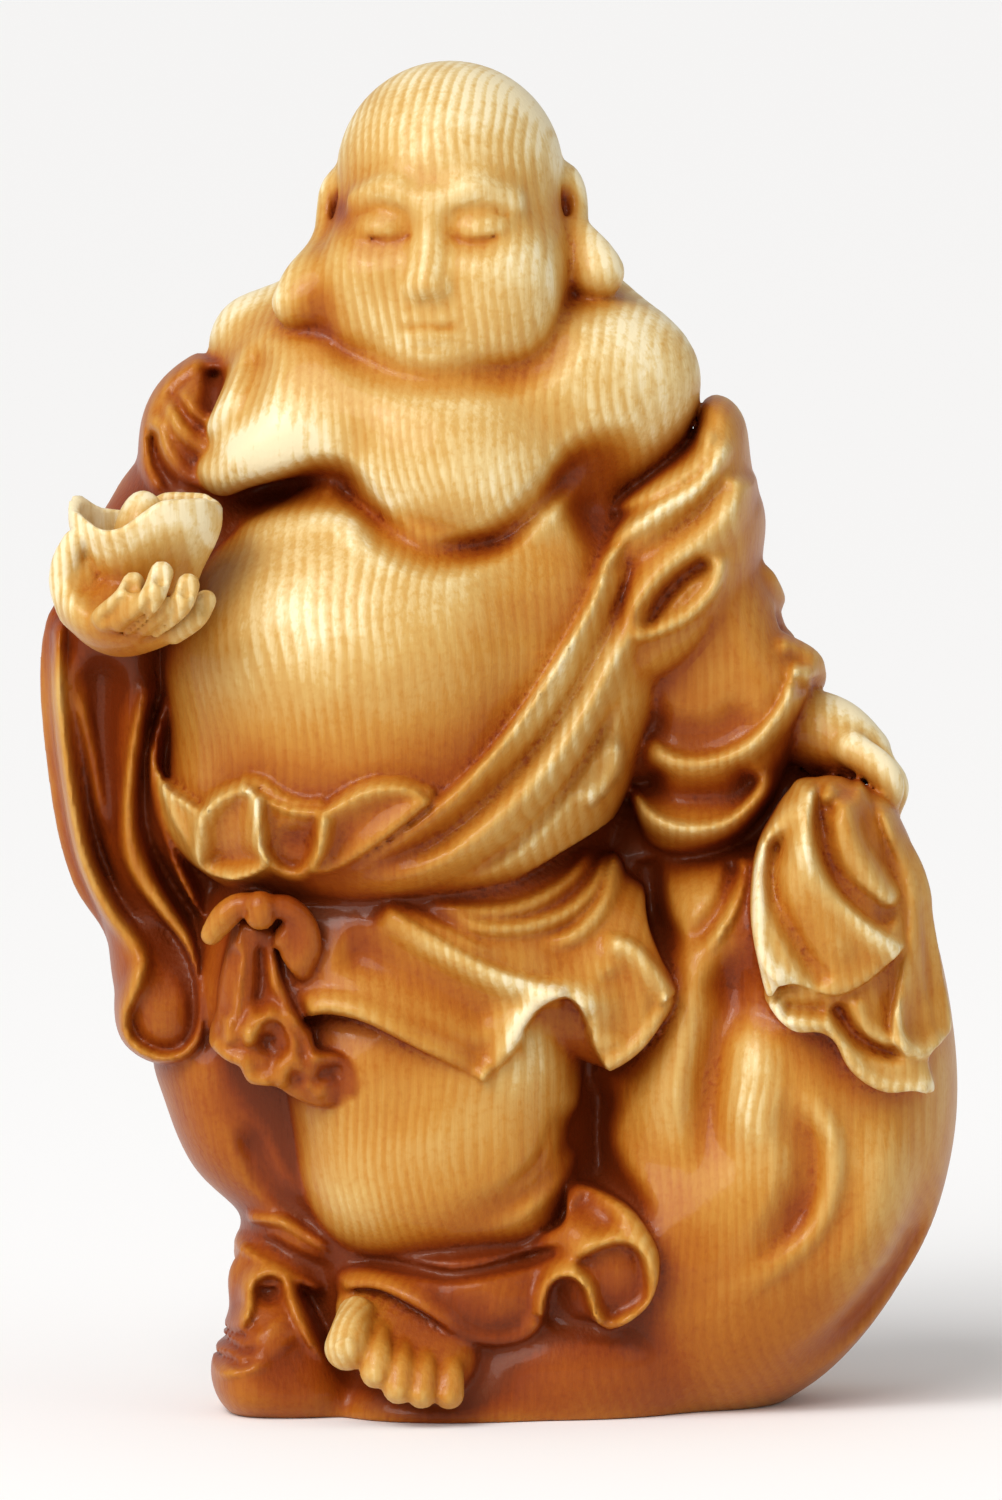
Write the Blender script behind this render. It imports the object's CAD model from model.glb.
"""Budai figure: the fine carved surface and its wood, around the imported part.

The carving is worked out as a field of signed distances on a grid, form by form, in
parts of the figure's height. Its surface is taken from the field and stands for the
part's one node. Z is up, the figure faces -Y, and every mesh is in metres.
"""

import logging
import math
from collections.abc import Callable
from dataclasses import dataclass
from enum import Enum

import bpy
import numpy as np
from mathutils import Euler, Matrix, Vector


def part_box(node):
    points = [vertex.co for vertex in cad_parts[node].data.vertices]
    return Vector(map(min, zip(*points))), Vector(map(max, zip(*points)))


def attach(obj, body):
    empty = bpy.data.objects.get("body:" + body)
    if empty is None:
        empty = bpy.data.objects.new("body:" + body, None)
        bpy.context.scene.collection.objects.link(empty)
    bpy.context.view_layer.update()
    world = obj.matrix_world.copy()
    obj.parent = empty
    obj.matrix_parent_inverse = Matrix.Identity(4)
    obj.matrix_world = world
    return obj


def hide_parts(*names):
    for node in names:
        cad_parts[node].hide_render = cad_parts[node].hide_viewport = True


LOG = logging.getLogger("budai")

PARTS_HIGH = 269.85  # the crown's height in parts; the part's own box gives the real height
UNITS_A_PART = 5.0  # the front drawing has five units to a part
DRAWING_MIDDLE = 500.0  # the drawing's centre line, in its units
DRAWING_FOOT = 1408.5  # the drawing's line of the underside, in its units
DRAWING_TILT = math.radians(5.0)  # the front drawing looks down by this angle
GRID_LOW = (-96.0, -78.0, -6.0)  # the grid's lowest corner, in parts
GRID_HIGH = (100.0, 66.0, 276.0)  # the grid's highest corner, in parts
FAR = 60.0  # the distance of a point that no form reaches
FORM_MARGIN = 6.0  # how far round a form its distance is worked out, in parts
CURVE_STEPS = 8  # straight steps between two drawn points of a fold
PATH_STEPS = 6  # straight steps between two points of a limb or an outline
LAYER_STEPS = 4  # straight steps between two points of a cloth layer's outline
SIDE_FADE = 8.0  # the width over which a relief fades at its dividing plane, in parts
STAIN_BLEND = 1.0  # the least width over which one stain turns into another, in parts
OUTLINE_BLUR = 2.5  # the reach of the rounding inside a slab's outline, in parts
JUST_INSIDE = -1e-3  # the distance given to a grid point that is filled, in parts
BEYOND = 1e9  # a distance greater than any other
TINY = 1e-9  # keeps a length away from nought, for a division
LEVEL = 1e-12  # keeps the rise of a level edge away from nought
LEAST_STEEPNESS = 1e-6  # the same for an ellipsoid's centre
LEAST_SHARE = 1e-3  # the same for a slab's middle plane

FACE_TURN = math.radians(-9.0)  # the face is turned a little to the figure's right
FACE_AXIS = (-11.8, -9.0)  # where the head's axis stands, in parts
EYE_LINE = 237.6  # the height of the eyes, in parts

# How deep the stain stands on each part of the carving, from bare wood to red-brown.
SKIN, EAR, SACK, LEAF, SHADE, CLOTH, STAIN = 0.2, 0.35, 0.5, 0.5, 0.8, 0.7, 1.1

Point = tuple[float, float, float]
Drawing = list[list[float]]
Array = np.ndarray
Window = tuple[slice, ...]
Place = Callable[[float, float], tuple[float, float]]


def at(across: float, down: float, depth: float) -> Point:
    """Gives a point of the front drawing in parts.

    The height is (up - depth sin tilt) / cos tilt, as the drawing looks down on the figure.

    Args:
        across: Place across the drawing, in its units.
        down: Place down the drawing, in its units.
        depth: Depth behind the middle plane, in parts.

    Returns:
        The point (x, y, z).
    """
    up = (DRAWING_FOOT - down) / UNITS_A_PART
    height = (up - depth * math.sin(DRAWING_TILT)) / math.cos(DRAWING_TILT)
    return (across - DRAWING_MIDDLE) / UNITS_A_PART, depth, height


def path(points: Drawing) -> list[Point]:
    """Turns drawn points (across, down, depth) into points in parts."""
    return [at(*point) for point in points]


def flat(points: Drawing, depth: float) -> Array:
    """Turns a drawn outline into (x, z) pairs at one depth."""
    return np.array([at(across, down, depth)[::2] for across, down in points])


def on_face(across: float, forward: float, above: float) -> Point:
    """Gives a point of the face, whose axis and turn are those of the head.

    Args:
        across: Distance from the middle of the face, in parts.
        forward: Distance in front of the head's axis, in parts.
        above: Height above the eye line, in parts.

    Returns:
        The point (x, y, z).
    """
    x = FACE_AXIS[0] + across * math.cos(FACE_TURN) + forward * math.sin(FACE_TURN)
    y = FACE_AXIS[1] + across * math.sin(FACE_TURN) - forward * math.cos(FACE_TURN)
    return x, y, EYE_LINE + above


def curve(points: Drawing | Array, steps: int, closed: bool = False) -> Array:
    """Gives a smooth curve through points with any number of coordinates.

    Each stretch is the cubic through its two ends whose slope at an end is half the
    step between that end's neighbours.

    Args:
        points: The points.
        steps: Straight steps to each stretch.
        closed: Whether the curve runs back to its start.

    Returns:
        The curve's points, one row each.
    """
    p = np.asarray(points, float)
    if closed:
        a, b, c, d = (np.roll(p, shift, axis=0)[:, None] for shift in (1, 0, -1, -2))
    else:
        p = np.vstack([2 * p[0] - p[1], p, 2 * p[-1] - p[-2]])
        a, b, c, d = (p[n : len(p) - 3 + n, None] for n in range(4))
    t = np.linspace(0, 1, steps, endpoint=False)[None, :, None]
    bend, turn = 2 * a - 5 * b + 4 * c - d, 3 * b - a - 3 * c + d
    line = 0.5 * (2 * b + (c - a) * t + bend * t**2 + turn * t**3)
    line = line.reshape(-1, p.shape[1])
    return np.vstack([line, line[:1] if closed else p[-2][None]])


def smooth(t: Array) -> Array:
    """Rises evenly from 0 to 1 and starts and ends level: t t (3 - 2 t)."""
    t = np.clip(t, 0.0, 1.0)
    return t * t * (3.0 - 2.0 * t)


def smooth_min(a: Array, b: Array, k: float) -> Array:
    """Gives the smaller of two distances, rounded where they meet.

    Args:
        a: The first distance.
        b: The second distance.
        k: The width of the rounding, which takes off k/4 where the two are equal.

    Returns:
        The joined distance.
    """
    if k <= 0:
        return np.minimum(a, b)
    h = np.maximum(k - np.abs(a - b), 0.0) / k
    return np.minimum(a, b) - h * h * k * 0.25


def nearest(line: Array, x: Array, z: Array) -> tuple[Array, Array, Array]:
    """Finds the nearest place on a row of straight steps.

    Args:
        line: The row's points (x, z).
        x: The x of each place asked for.
        z: The z of each place asked for.

    Returns:
        The distance, the share of the row's length at the nearest place, and whether
        the place asked for lies to the left of the row.
    """
    x, z = np.broadcast_arrays(x, z)
    best = np.full(x.shape, BEYOND, np.float32)
    along = np.zeros(x.shape, np.float32)
    left = np.zeros(x.shape, bool)
    run = 0.0
    for (ax, az), (bx, bz) in zip(line[:-1], line[1:]):
        dx, dz = bx - ax, bz - az
        length = max(math.hypot(dx, dz), TINY)
        t = np.clip(((x - ax) * dx + (z - az) * dz) / length**2, 0.0, 1.0)
        distance = np.hypot(x - ax - t * dx, z - az - t * dz)
        closer = distance < best
        best = np.where(closer, distance, best)
        along = np.where(closer, run + t * length, along)
        left = np.where(closer, dx * (z - az) - dz * (x - ax) > 0, left)
        run += length
    return best, along / run, left


def outline_distance(closed: Array, x: Array, z: Array) -> Array:
    """Gives the distance to a closed outline, negative inside it.

    A place is inside if a line from it crosses the outline an odd number of times.

    Args:
        closed: The outline's points (x, z), the first repeated at the end.
        x: The x of each place.
        z: The z of each place.

    Returns:
        The signed distances.
    """
    distance, _, _ = nearest(closed, x, z)
    inside = np.zeros(distance.shape, bool)
    for (ax, az), (bx, bz) in zip(closed[:-1], closed[1:]):
        meets = x < (bx - ax) * (z - az) / (bz - az + LEVEL) + ax
        inside ^= ((az > z) != (bz > z)) & meets
    return np.where(inside, -distance, distance)


def blurred(sheet: Array, passes: int) -> Array:
    """Evens out a sheet by passes of 1, 2, 1 over each number and its neighbours.

    Args:
        sheet: The numbers, in rows and columns.
        passes: How often it is done along both.

    Returns:
        The evened sheet.
    """
    for _ in range(passes):
        for axis in (0, 1):
            width = [(1, 1) if n == axis else (0, 0) for n in (0, 1)]
            wide = np.pad(sheet, width, mode="edge")
            before, after = (wide[:-2], wide[2:]) if axis == 0 else (wide[:, :-2], wide[:, 2:])
            sheet = (before + 2 * sheet + after) / 4
    return sheet


@dataclass(frozen=True)
class Form:
    """A form that knows the box it lies in."""

    lo: Array
    hi: Array

    def distance(self, x: Array, y: Array, z: Array) -> Array:
        """Gives the form's signed distance on an open grid; each kind has its own."""
        raise NotImplementedError


@dataclass(frozen=True)
class Ellipsoid(Form):
    """An ellipsoid, by its centre, its radii and the directions of its own axes."""

    centre: Array
    radii: Array
    axes: Array

    def distance(self, x: Array, y: Array, z: Array) -> Array:
        """Gives the signed distance on an open grid.

        With q the place in the ellipsoid's own axes, it is k0 (k0 - 1) / k1, where
        k0 = |q / radii| and k1 = |q / radii squared|.

        Args:
            x: The grid's x.
            y: The grid's y.
            z: The grid's z.

        Returns:
            The distances.
        """
        dx, dy, dz = x - self.centre[0], y - self.centre[1], z - self.centre[2]
        near, steep = 0.0, 0.0
        for axis, radius in zip(self.axes.T, self.radii):
            q = axis[0] * dx + axis[1] * dy + axis[2] * dz
            near = near + (q / radius) ** 2
            steep = steep + (q / radius**2) ** 2
        share = np.sqrt(near)
        return share * (share - 1) / np.maximum(np.sqrt(steep), LEAST_STEEPNESS)


def ellipsoid(centre: Point, radii: list[float], turn: Point | list[float] = (0, 0, 0)) -> Ellipsoid:
    """Makes an ellipsoid.

    Args:
        centre: Its centre.
        radii: Its three radii.
        turn: Its turns about X, then Y, then Z, in degrees.

    Returns:
        The form.
    """
    (cx, cy, cz), (sx, sy, sz) = np.cos(np.radians(turn)), np.sin(np.radians(turn))
    about_x = np.array([[1, 0, 0], [0, cx, -sx], [0, sx, cx]])
    about_y = np.array([[cy, 0, sy], [0, 1, 0], [-sy, 0, cy]])
    about_z = np.array([[cz, -sz, 0], [sz, cz, 0], [0, 0, 1]])
    axes = about_z @ about_y @ about_x
    middle, half = np.array(centre, float), np.array(radii, float)
    reach = np.sqrt(((axes * half) ** 2).sum(axis=1))
    return Ellipsoid(middle - reach, middle + reach, middle, half, axes)


@dataclass(frozen=True)
class Limb(Form):
    """Round cones along a line, whose rows are x, y, z and the radius there."""

    line: Array

    def distance(self, x: Array, y: Array, z: Array) -> Array:
        """Gives the signed distance on an open grid.

        It is the least distance to a straight step, less the radius at that place.

        Args:
            x: The grid's x.
            y: The grid's y.
            z: The grid's z.

        Returns:
            The distances.
        """
        best = np.float32(FAR)
        for (ax, ay, az, ar), (bx, by, bz, br) in zip(self.line[:-1], self.line[1:]):
            dx, dy, dz = bx - ax, by - ay, bz - az
            square = max(dx * dx + dy * dy + dz * dz, TINY)
            t = np.clip(((x - ax) * dx + (y - ay) * dy + (z - az) * dz) / square, 0.0, 1.0)
            off = (x - ax - t * dx) ** 2 + (y - ay - t * dy) ** 2 + (z - az - t * dz) ** 2
            best = np.minimum(best, np.sqrt(off) - (ar + t * (br - ar)))
        return best


def limb(points: list[Point], radii: list[float]) -> Limb:
    """Makes a limb along a smooth path.

    Args:
        points: Points of the path.
        radii: The radius at each point.

    Returns:
        The form.
    """
    line = curve(np.column_stack([np.array(points, float), radii]), PATH_STEPS)
    radius = np.maximum(line[:, 3:], 0.0)
    line = np.hstack([line[:, :3], radius])
    return Limb((line[:, :3] - radius).min(0), (line[:, :3] + radius).max(0), line)


@dataclass(frozen=True)
class Slab(Form):
    """A pillow with a closed outline, a leaning middle plane and a soft rim."""

    closed: Array
    depth: float
    half: float
    soft: float
    slope: list[float]

    def distance(self, x: Array, y: Array, z: Array) -> Array:
        """Gives the signed distance on an open grid.

        It is an ellipse's distance over how far a place is inside the outline's soft
        rim and how far it is from the middle plane.

        Args:
            x: The grid's x.
            y: The grid's y.
            z: The grid's z.

        Returns:
            The distances.
        """
        edge = outline_distance(self.closed, x[:, :, 0], z[0])
        passes = round(2 * (OUTLINE_BLUR / float(x[1, 0, 0] - x[0, 0, 0])) ** 2)
        edge = blurred(edge, passes)[:, None, :]
        mid = self.closed[1:].mean(0)
        middle = self.depth + self.slope[0] * (x - mid[0]) + self.slope[1] * (z - mid[1])
        a = np.maximum((edge + self.soft) / self.soft, 0.0)
        b = np.maximum(np.abs(y - middle) / self.half, LEAST_SHARE)
        share = np.hypot(a, b)
        return share * (share - 1) / np.hypot(a / self.soft, b / self.half)


def slab(outline: Drawing, depth: float, half: float, soft: float, slope: list[float]) -> Slab:
    """Makes a slab.

    Args:
        outline: Its outline in the front drawing.
        depth: The depth of its middle.
        half: Half its thickness.
        soft: The width of its rounded rim.
        slope: How fast its middle plane moves back along x and z.

    Returns:
        The form.
    """
    closed = curve(flat(outline, depth), PATH_STEPS, closed=True)
    lo, hi = closed.min(0), closed.max(0)
    lean = abs(slope[0]) * (hi[0] - lo[0]) + abs(slope[1]) * (hi[1] - lo[1])
    low = np.array([lo[0], depth - half - lean, lo[1]])
    high = np.array([hi[0], depth + half + lean, hi[1]])
    return Slab(low, high, closed, depth, half, soft, slope)


@dataclass(frozen=True)
class Relief:
    """A low form drawn on a surface by its points."""

    points: Drawing

    def over(self, place: Place, x: Array, z: Array) -> Array:
        """Gives the relief's height at each place of a surface; each kind has its own."""
        raise NotImplementedError


@dataclass(frozen=True)
class Crest(Relief):
    """A rounded ridge along a line, or a groove if its height is negative.

    It has a width on the line's left and right, and fades in and out over the shares
    start and end of the line's length.
    """

    left: float
    right: float
    height: float
    start: float = 0.2
    end: float = 0.2

    def over(self, place: Place, x: Array, z: Array) -> Array:
        """Gives the ridge's height: height (1 - (distance / width) squared) squared.

        Args:
            place: Turns a point of the drawing into one of the surface.
            x: The x of each place.
            z: The z of each place.

        Returns:
            The heights.
        """
        line = curve([place(*point) for point in self.points], CURVE_STEPS)
        distance, share, on_left = nearest(line, x, z)
        width = np.where(on_left, self.left, self.right)
        top = np.maximum(1 - (distance / width) ** 2, 0.0) ** 2
        return self.height * top * smooth(share / self.start) * smooth((1 - share) / self.end)


@dataclass(frozen=True)
class Leaf(Relief):
    """A raised layer of cloth that sinks or swells inside its rim.

    It rises to rim over the width edge, and goes from rim to middle over reach.
    """

    rim: float
    middle: float
    edge: float
    reach: float = 1.0

    def over(self, place: Place, x: Array, z: Array) -> Array:
        """Gives the layer's height.

        Args:
            place: Turns a point of the drawing into one of the surface.
            x: The x of each place.
            z: The z of each place.

        Returns:
            The heights.
        """
        closed = curve([place(*point) for point in self.points], LAYER_STEPS, closed=True)
        distance = outline_distance(closed, x, z)
        height = self.rim + (self.middle - self.rim) * smooth(-distance / self.reach)
        return height * smooth((self.edge / 2 - distance) / self.edge)


def fold(points: Drawing, width: float, height: float, start: float = 0.2, end: float = 0.2) -> Crest:
    """Makes a ridge or a groove that is as wide on both sides."""
    return Crest(points, width, width, height, start, end)


def layer(points: Drawing, height: float, edge: float) -> Leaf:
    """Makes a layer that stands up as high all over."""
    return Leaf(points, height, height, edge)


class Clay:
    """A box of grid points, each with its distance to the carving and its stain."""

    def __init__(self, axes: list[Array], tone: float, window: Window = ()) -> None:
        """Makes an empty box.

        Args:
            axes: The grid's coordinates along x, y and z.
            tone: The stain to start with.
            window: Where the box lies in the whole grid.
        """
        self.x, self.y, self.z = axes
        self.window = window
        shape = tuple(len(axis) for axis in axes)
        self.f = np.full(shape, FAR, np.float32)
        self.tone = np.full(shape, tone, np.float32)

    @classmethod
    def grid(cls, cell: float) -> "Clay":
        """Makes the whole grid.

        Args:
            cell: The grid's step, in parts.

        Returns:
            The grid, empty.
        """
        count = [math.ceil((b - a) / cell) + 1 for a, b in zip(GRID_LOW, GRID_HIGH)]
        axes = [np.float32(a) + np.arange(n, dtype=np.float32) * np.float32(cell)
                for a, n in zip(GRID_LOW, count)]
        return cls(axes, 0.0)

    def window_of(self, lo: Point | Array, hi: Point | Array) -> Window:
        """Gives the part of the grid from just below lo to just above hi.

        Args:
            lo: The lowest corner.
            hi: The highest corner.

        Returns:
            A slice for each axis.
        """
        window = []
        for axis, low, high in zip((self.x, self.y, self.z), lo, hi):
            first = max(int(np.searchsorted(axis, low)) - 1, 0)
            window.append(slice(first, max(int(np.searchsorted(axis, high)) + 1, 0)))
        return tuple(window)

    def block(self, lo: Point, hi: Point, tone: float) -> "Clay":
        """Makes an empty block of the same grid.

        Args:
            lo: Its lowest corner.
            hi: Its highest corner.
            tone: The stain of what is modelled in it.

        Returns:
            The block.
        """
        window = self.window_of(lo, hi)
        axes = [axis[part] for axis, part in zip((self.x, self.y, self.z), window)]
        return Clay(axes, tone, window)

    def near(self, form: Form, k: float) -> tuple[Window, Array]:
        """Works out a form's distance near it.

        Args:
            form: The form.
            k: The width of its rounding.

        Returns:
            Where that is in this box, and the distances there.
        """
        margin = max(k, FORM_MARGIN)
        near = self.window_of(form.lo - margin, form.hi + margin)
        x, y, z = (axis[part] for axis, part in zip((self.x, self.y, self.z), near))
        if 0 in (len(x), len(y), len(z)):
            return near, np.empty((len(x), len(y), len(z)), np.float32)
        distance = form.distance(x[:, None, None], y[None, :, None], z[None, None, :])
        return near, distance.astype(np.float32)

    def colour(self, near: Window, weight: Array, tone: float | None) -> None:
        """Moves the stain towards a tone, if there is one.

        Args:
            near: The part of the box to change.
            weight: How far to move it, clipped to 0 and 1.
            tone: The stain to move to.
        """
        if tone is not None:
            share = np.clip(weight, 0.0, 1.0)
            self.tone[near] = self.tone[near] * (1 - share) + tone * share

    def join(self, part: "Clay", k: float) -> None:
        """Joins a block into the whole grid.

        Args:
            part: The block.
            k: The width of the rounding.
        """
        old, tone = self.f[part.window], self.tone[part.window]
        share = np.clip(0.5 + (old - part.f) / max(k, STAIN_BLEND) / 2, 0.0, 1.0)
        self.tone[part.window] = tone * (1 - share) + part.tone * share
        self.f[part.window] = smooth_min(old, part.f, k)


@dataclass(frozen=True)
class Step:
    """One step of modelling a part."""

    def apply(self, clay: Clay) -> None:
        """Changes a block of clay; each kind of step has its own way."""
        raise NotImplementedError


@dataclass(frozen=True)
class Add(Step):
    """Adds a form and its stain, rounded over a width where it meets what is there."""

    form: Form
    k: float
    tone: float | None = None

    def apply(self, clay: Clay) -> None:
        """Adds the form to a block of clay.

        Args:
            clay: The block.
        """
        near, distance = clay.near(self.form, self.k)
        clay.colour(near, 0.5 + (clay.f[near] - distance) / max(self.k, STAIN_BLEND) / 2, self.tone)
        clay.f[near] = smooth_min(clay.f[near], distance, self.k)


@dataclass(frozen=True)
class Cut(Step):
    """Takes a form away, rounded over a width, and stains the cut."""

    form: Form
    k: float
    tone: float | None = None

    def apply(self, clay: Clay) -> None:
        """Cuts the form out of a block of clay.

        Args:
            clay: The block.
        """
        near, distance = clay.near(self.form, self.k)
        clay.colour(near, 0.5 - (clay.f[near] + distance) / max(self.k, STAIN_BLEND) / 2, self.tone)
        clay.f[near] = -smooth_min(-clay.f[near], distance, self.k)


@dataclass(frozen=True)
class Trim(Step):
    """Keeps what lies inside a closed outline of the front drawing."""

    outline: Drawing
    depth: float
    k: float

    def apply(self, clay: Clay) -> None:
        """Trims a block of clay.

        Args:
            clay: The block.
        """
        closed = curve(flat(self.outline, self.depth), PATH_STEPS, closed=True)
        edge = outline_distance(closed, clay.x[:, None], clay.z[None, :]).astype(np.float32)
        clay.f = -smooth_min(-clay.f, -edge[:, None, :], self.k)


class Facing(Enum):
    """Which way a relief on the front or the back faces: the sign of y there."""

    FRONT = -1.0
    BACK = 1.0


class Flank(Enum):
    """Which of the figure's sides a relief is on: the sign of x there."""

    RIGHT = -1.0
    LEFT = 1.0


def beyond(axis: Array, split: float, sign: float) -> Array:
    """Rises from 0 to 1 over the fading width round split, in the direction of a sign."""
    return smooth((sign * (axis - split) + SIDE_FADE / 2) / SIDE_FADE)


@dataclass(frozen=True)
class Raise(Step):
    """Raises the front or the back by reliefs of the front drawing.

    They are drawn at a depth, stand on one side of the plane y = split, and add the
    stain tone to each part of height.
    """

    depth: float
    split: float
    tone: float
    reliefs: list[Relief]
    facing: Facing = Facing.FRONT

    def place(self, across: float, down: float) -> tuple[float, float]:
        """Gives a point of the drawing as x and z."""
        return at(across, down, self.depth)[::2]

    def apply(self, clay: Clay) -> None:
        """Raises the surface of a block of clay.

        Args:
            clay: The block.
        """
        x, z = clay.x[:, None], clay.z[None, :]
        height = sum(relief.over(self.place, x, z) for relief in self.reliefs)
        side = beyond(clay.y, self.split, self.facing.value)
        lift = (height[:, None, :] * side[None, :, None]).astype(np.float32)
        clay.f -= lift
        clay.tone += lift * self.tone


@dataclass(frozen=True)
class RaiseSide(Step):
    """Raises one side, beyond x = split, by reliefs drawn on depth and height."""

    split: float
    flank: Flank
    reliefs: list[Relief]

    @staticmethod
    def place(across: float, down: float) -> tuple[float, float]:
        """Gives a point of the drawing as y and z."""
        return (across - DRAWING_MIDDLE) / UNITS_A_PART, at(0, down, 0)[2]

    def apply(self, clay: Clay) -> None:
        """Raises the surface of a block of clay.

        Args:
            clay: The block.
        """
        y, z = clay.y[:, None], clay.z[None, :]
        height = sum(relief.over(self.place, y, z) for relief in self.reliefs)
        part = beyond(clay.x, self.split, self.flank.value)
        clay.f -= (part[:, None, None] * height[None]).astype(np.float32)


@dataclass(frozen=True)
class Carved:
    """A part of the carving, modelled step by step in a block of its own.

    The block reaches from low to high and starts with one stain. The part is joined to
    the rest over a width of blend.
    """

    low: Point = GRID_LOW
    high: Point = GRID_HIGH
    stain: float = SKIN
    blend: float = 1.0
    steps: tuple[Step, ...] = ()

    def model(self, clay: Clay) -> Clay:
        """Models the part.

        Args:
            clay: The whole grid.

        Returns:
            The block of it with the part.
        """
        block = clay.block(self.low, self.high, self.stain)
        for step in self.steps:
            step.apply(block)
        return block


@dataclass(frozen=True)
class Torso(Carved):
    """Chest, shoulders and belly, and the robe's lapel and ruffles round the belly."""

    low: Point = (-75, -65, 90)
    high: Point = (55, 45, 245)
    blend: float = 0.0
    steps: tuple[Step, ...] = (
        Add(ellipsoid(at(440, 410, 2), [42, 28, 25]), 0),
        Add(ellipsoid(at(256, 356, 5), [10, 14, 11], [0, -12, 0]), 8),
        Add(ellipsoid(at(600, 414, 0), [17, 21, 18]), 10),
        Add(limb(path([[262, 348, 4], [350, 318, 4], [440, 306, 4], [545, 312, 4], [620, 356, 2]]),
            [9, 13, 15, 13, 10]), 6),
        Add(ellipsoid(at(448, 477, -20), [25.5, 20.5, 19], [-6, 8, 0]), 7),
        Add(ellipsoid(at(277, 448, -17), [18, 16, 10.5], [0, -25, 0]), 8),
        Add(ellipsoid(at(400, 420, -18), [36, 15, 16]), 10),
        Add(ellipsoid(at(325, 375, -10), [16, 14, 12]), 10),
        Add(ellipsoid(at(560, 410, -10), [18, 17, 15]), 10),
        Add(ellipsoid(at(590, 380, -12), [20, 15, 14]), 10),
        Add(ellipsoid(at(368, 655, -15), [42.5, 37, 33], [0, -6, 0]), 2.5),
        Add(ellipsoid(at(520, 640, -8), [26, 30, 36]), 8),
        Add(ellipsoid(at(245, 510, 2), [17, 17, 22]), 4),
        Cut(ellipsoid(at(608, 494, -30), [9, 8.5, 9], [0, -30, 0]), 5, STAIN),
        # the crease under the breasts, the one beside the arm, and the neck ring
        Raise(-42, -5, 0, [
            fold([[196, 505], [222, 520], [262, 503], [318, 484], [346, 496], [380, 542], [430, 564],
                [490, 550], [545, 498], [590, 445]], 4.6, -3, 0.15, 0.2),
            fold([[222, 524], [270, 506], [322, 498], [362, 526]], 5, -1.6),
            fold([[225, 552], [270, 532], [330, 526], [372, 556]], 5, 1.3),
            fold([[264, 352], [253, 392], [242, 424], [214, 460], [192, 490]], 4.5, -2),
            fold([[572, 500], [584, 540], [596, 590]], 5, -1, 0.3, 0.1),
            fold([[326, 330], [355, 376], [440, 398], [530, 382], [575, 335]], 5, -1.2, 0.15, 0.15),
            fold([[345, 500], [352, 460], [362, 420]], 5, -0.6, 0.1, 0.5),
        ]),
        # the robe under the belly and its lapel
        Add(ellipsoid(at(375, 790, -13), [42.5, 36.5, 24]), 12),
        Raise(-38, -5, 0.06, [
            layer([[752, 400], [738, 432], [722, 455], [690, 487], [655, 515], [622, 545], [600, 566],
                [588, 600], [565, 642], [535, 690], [500, 737], [462, 775], [430, 798], [412, 787],
                [388, 782], [362, 786], [340, 797], [320, 807], [300, 808], [275, 803], [252, 790],
                [238, 787], [212, 800], [201, 812], [184, 807], [160, 790], [140, 740], [140, 850],
                [215, 910], [330, 925], [450, 915], [560, 860], [660, 800], [680, 700], [740, 620],
                [800, 560], [820, 450]], 3.2, 1.2),
            Crest([[622, 545], [600, 568], [586, 606], [563, 648], [533, 696], [498, 743], [453, 792],
                [400, 834], [354, 863], [318, 877]], 3, 1.6, 1.8, 0.03, 0.15),
            fold([[640, 575], [604, 640], [572, 694], [532, 752], [482, 802], [430, 842], [370, 869]], 4,
                -2.4, 0.1, 0.2),
            fold([[690, 556], [640, 612], [606, 664], [582, 714], [546, 767], [500, 814], [450, 853],
                [400, 875], [330, 886]], 5.2, 2.8, 0.1, 0.15),
            fold([[612, 690], [592, 742], [556, 797], [506, 846], [452, 881]], 2.8, -2.2),
            Crest([[604, 742], [612, 764], [604, 788], [575, 816]], 2, 4, 2.4),
        ]),
        # ruffles at the belly's foot
        Raise(-48, -5, 0.03, [
            Leaf([[158, 796], [166, 828], [180, 852], [194, 880], [192, 846], [195, 820], [184, 808]], 1.4,
                0.2, 1.4, 3),
            Leaf([[194, 876], [192, 846], [196, 822], [212, 800], [238, 787], [254, 798], [257, 820],
                [258, 846], [266, 868], [240, 886], [212, 888]], 3.4, -0.4, 1.3, 5),
            Crest([[236, 787], [258, 789], [280, 803], [304, 809], [322, 806]], 1.6, 3.4, 2.4, 0.05, 0.05),
            Crest([[256, 796], [258, 830], [262, 856], [276, 874], [296, 878], [310, 862], [317, 838],
                [321, 814]], 1.8, 2.4, 2.8, 0.05, 0.05),
            fold([[292, 822], [294, 840], [290, 862]], 5.5, -1.8, 0.45, 0.45),
            Leaf([[319, 814], [338, 797], [362, 785], [388, 781], [412, 786], [430, 797], [404, 822],
                [366, 852], [330, 874], [308, 874], [314, 844]], 3.2, 0.2, 1.3, 6),
            fold([[214, 886], [244, 884], [270, 868]], 3, 1.6),
        ]),
    )


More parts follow.
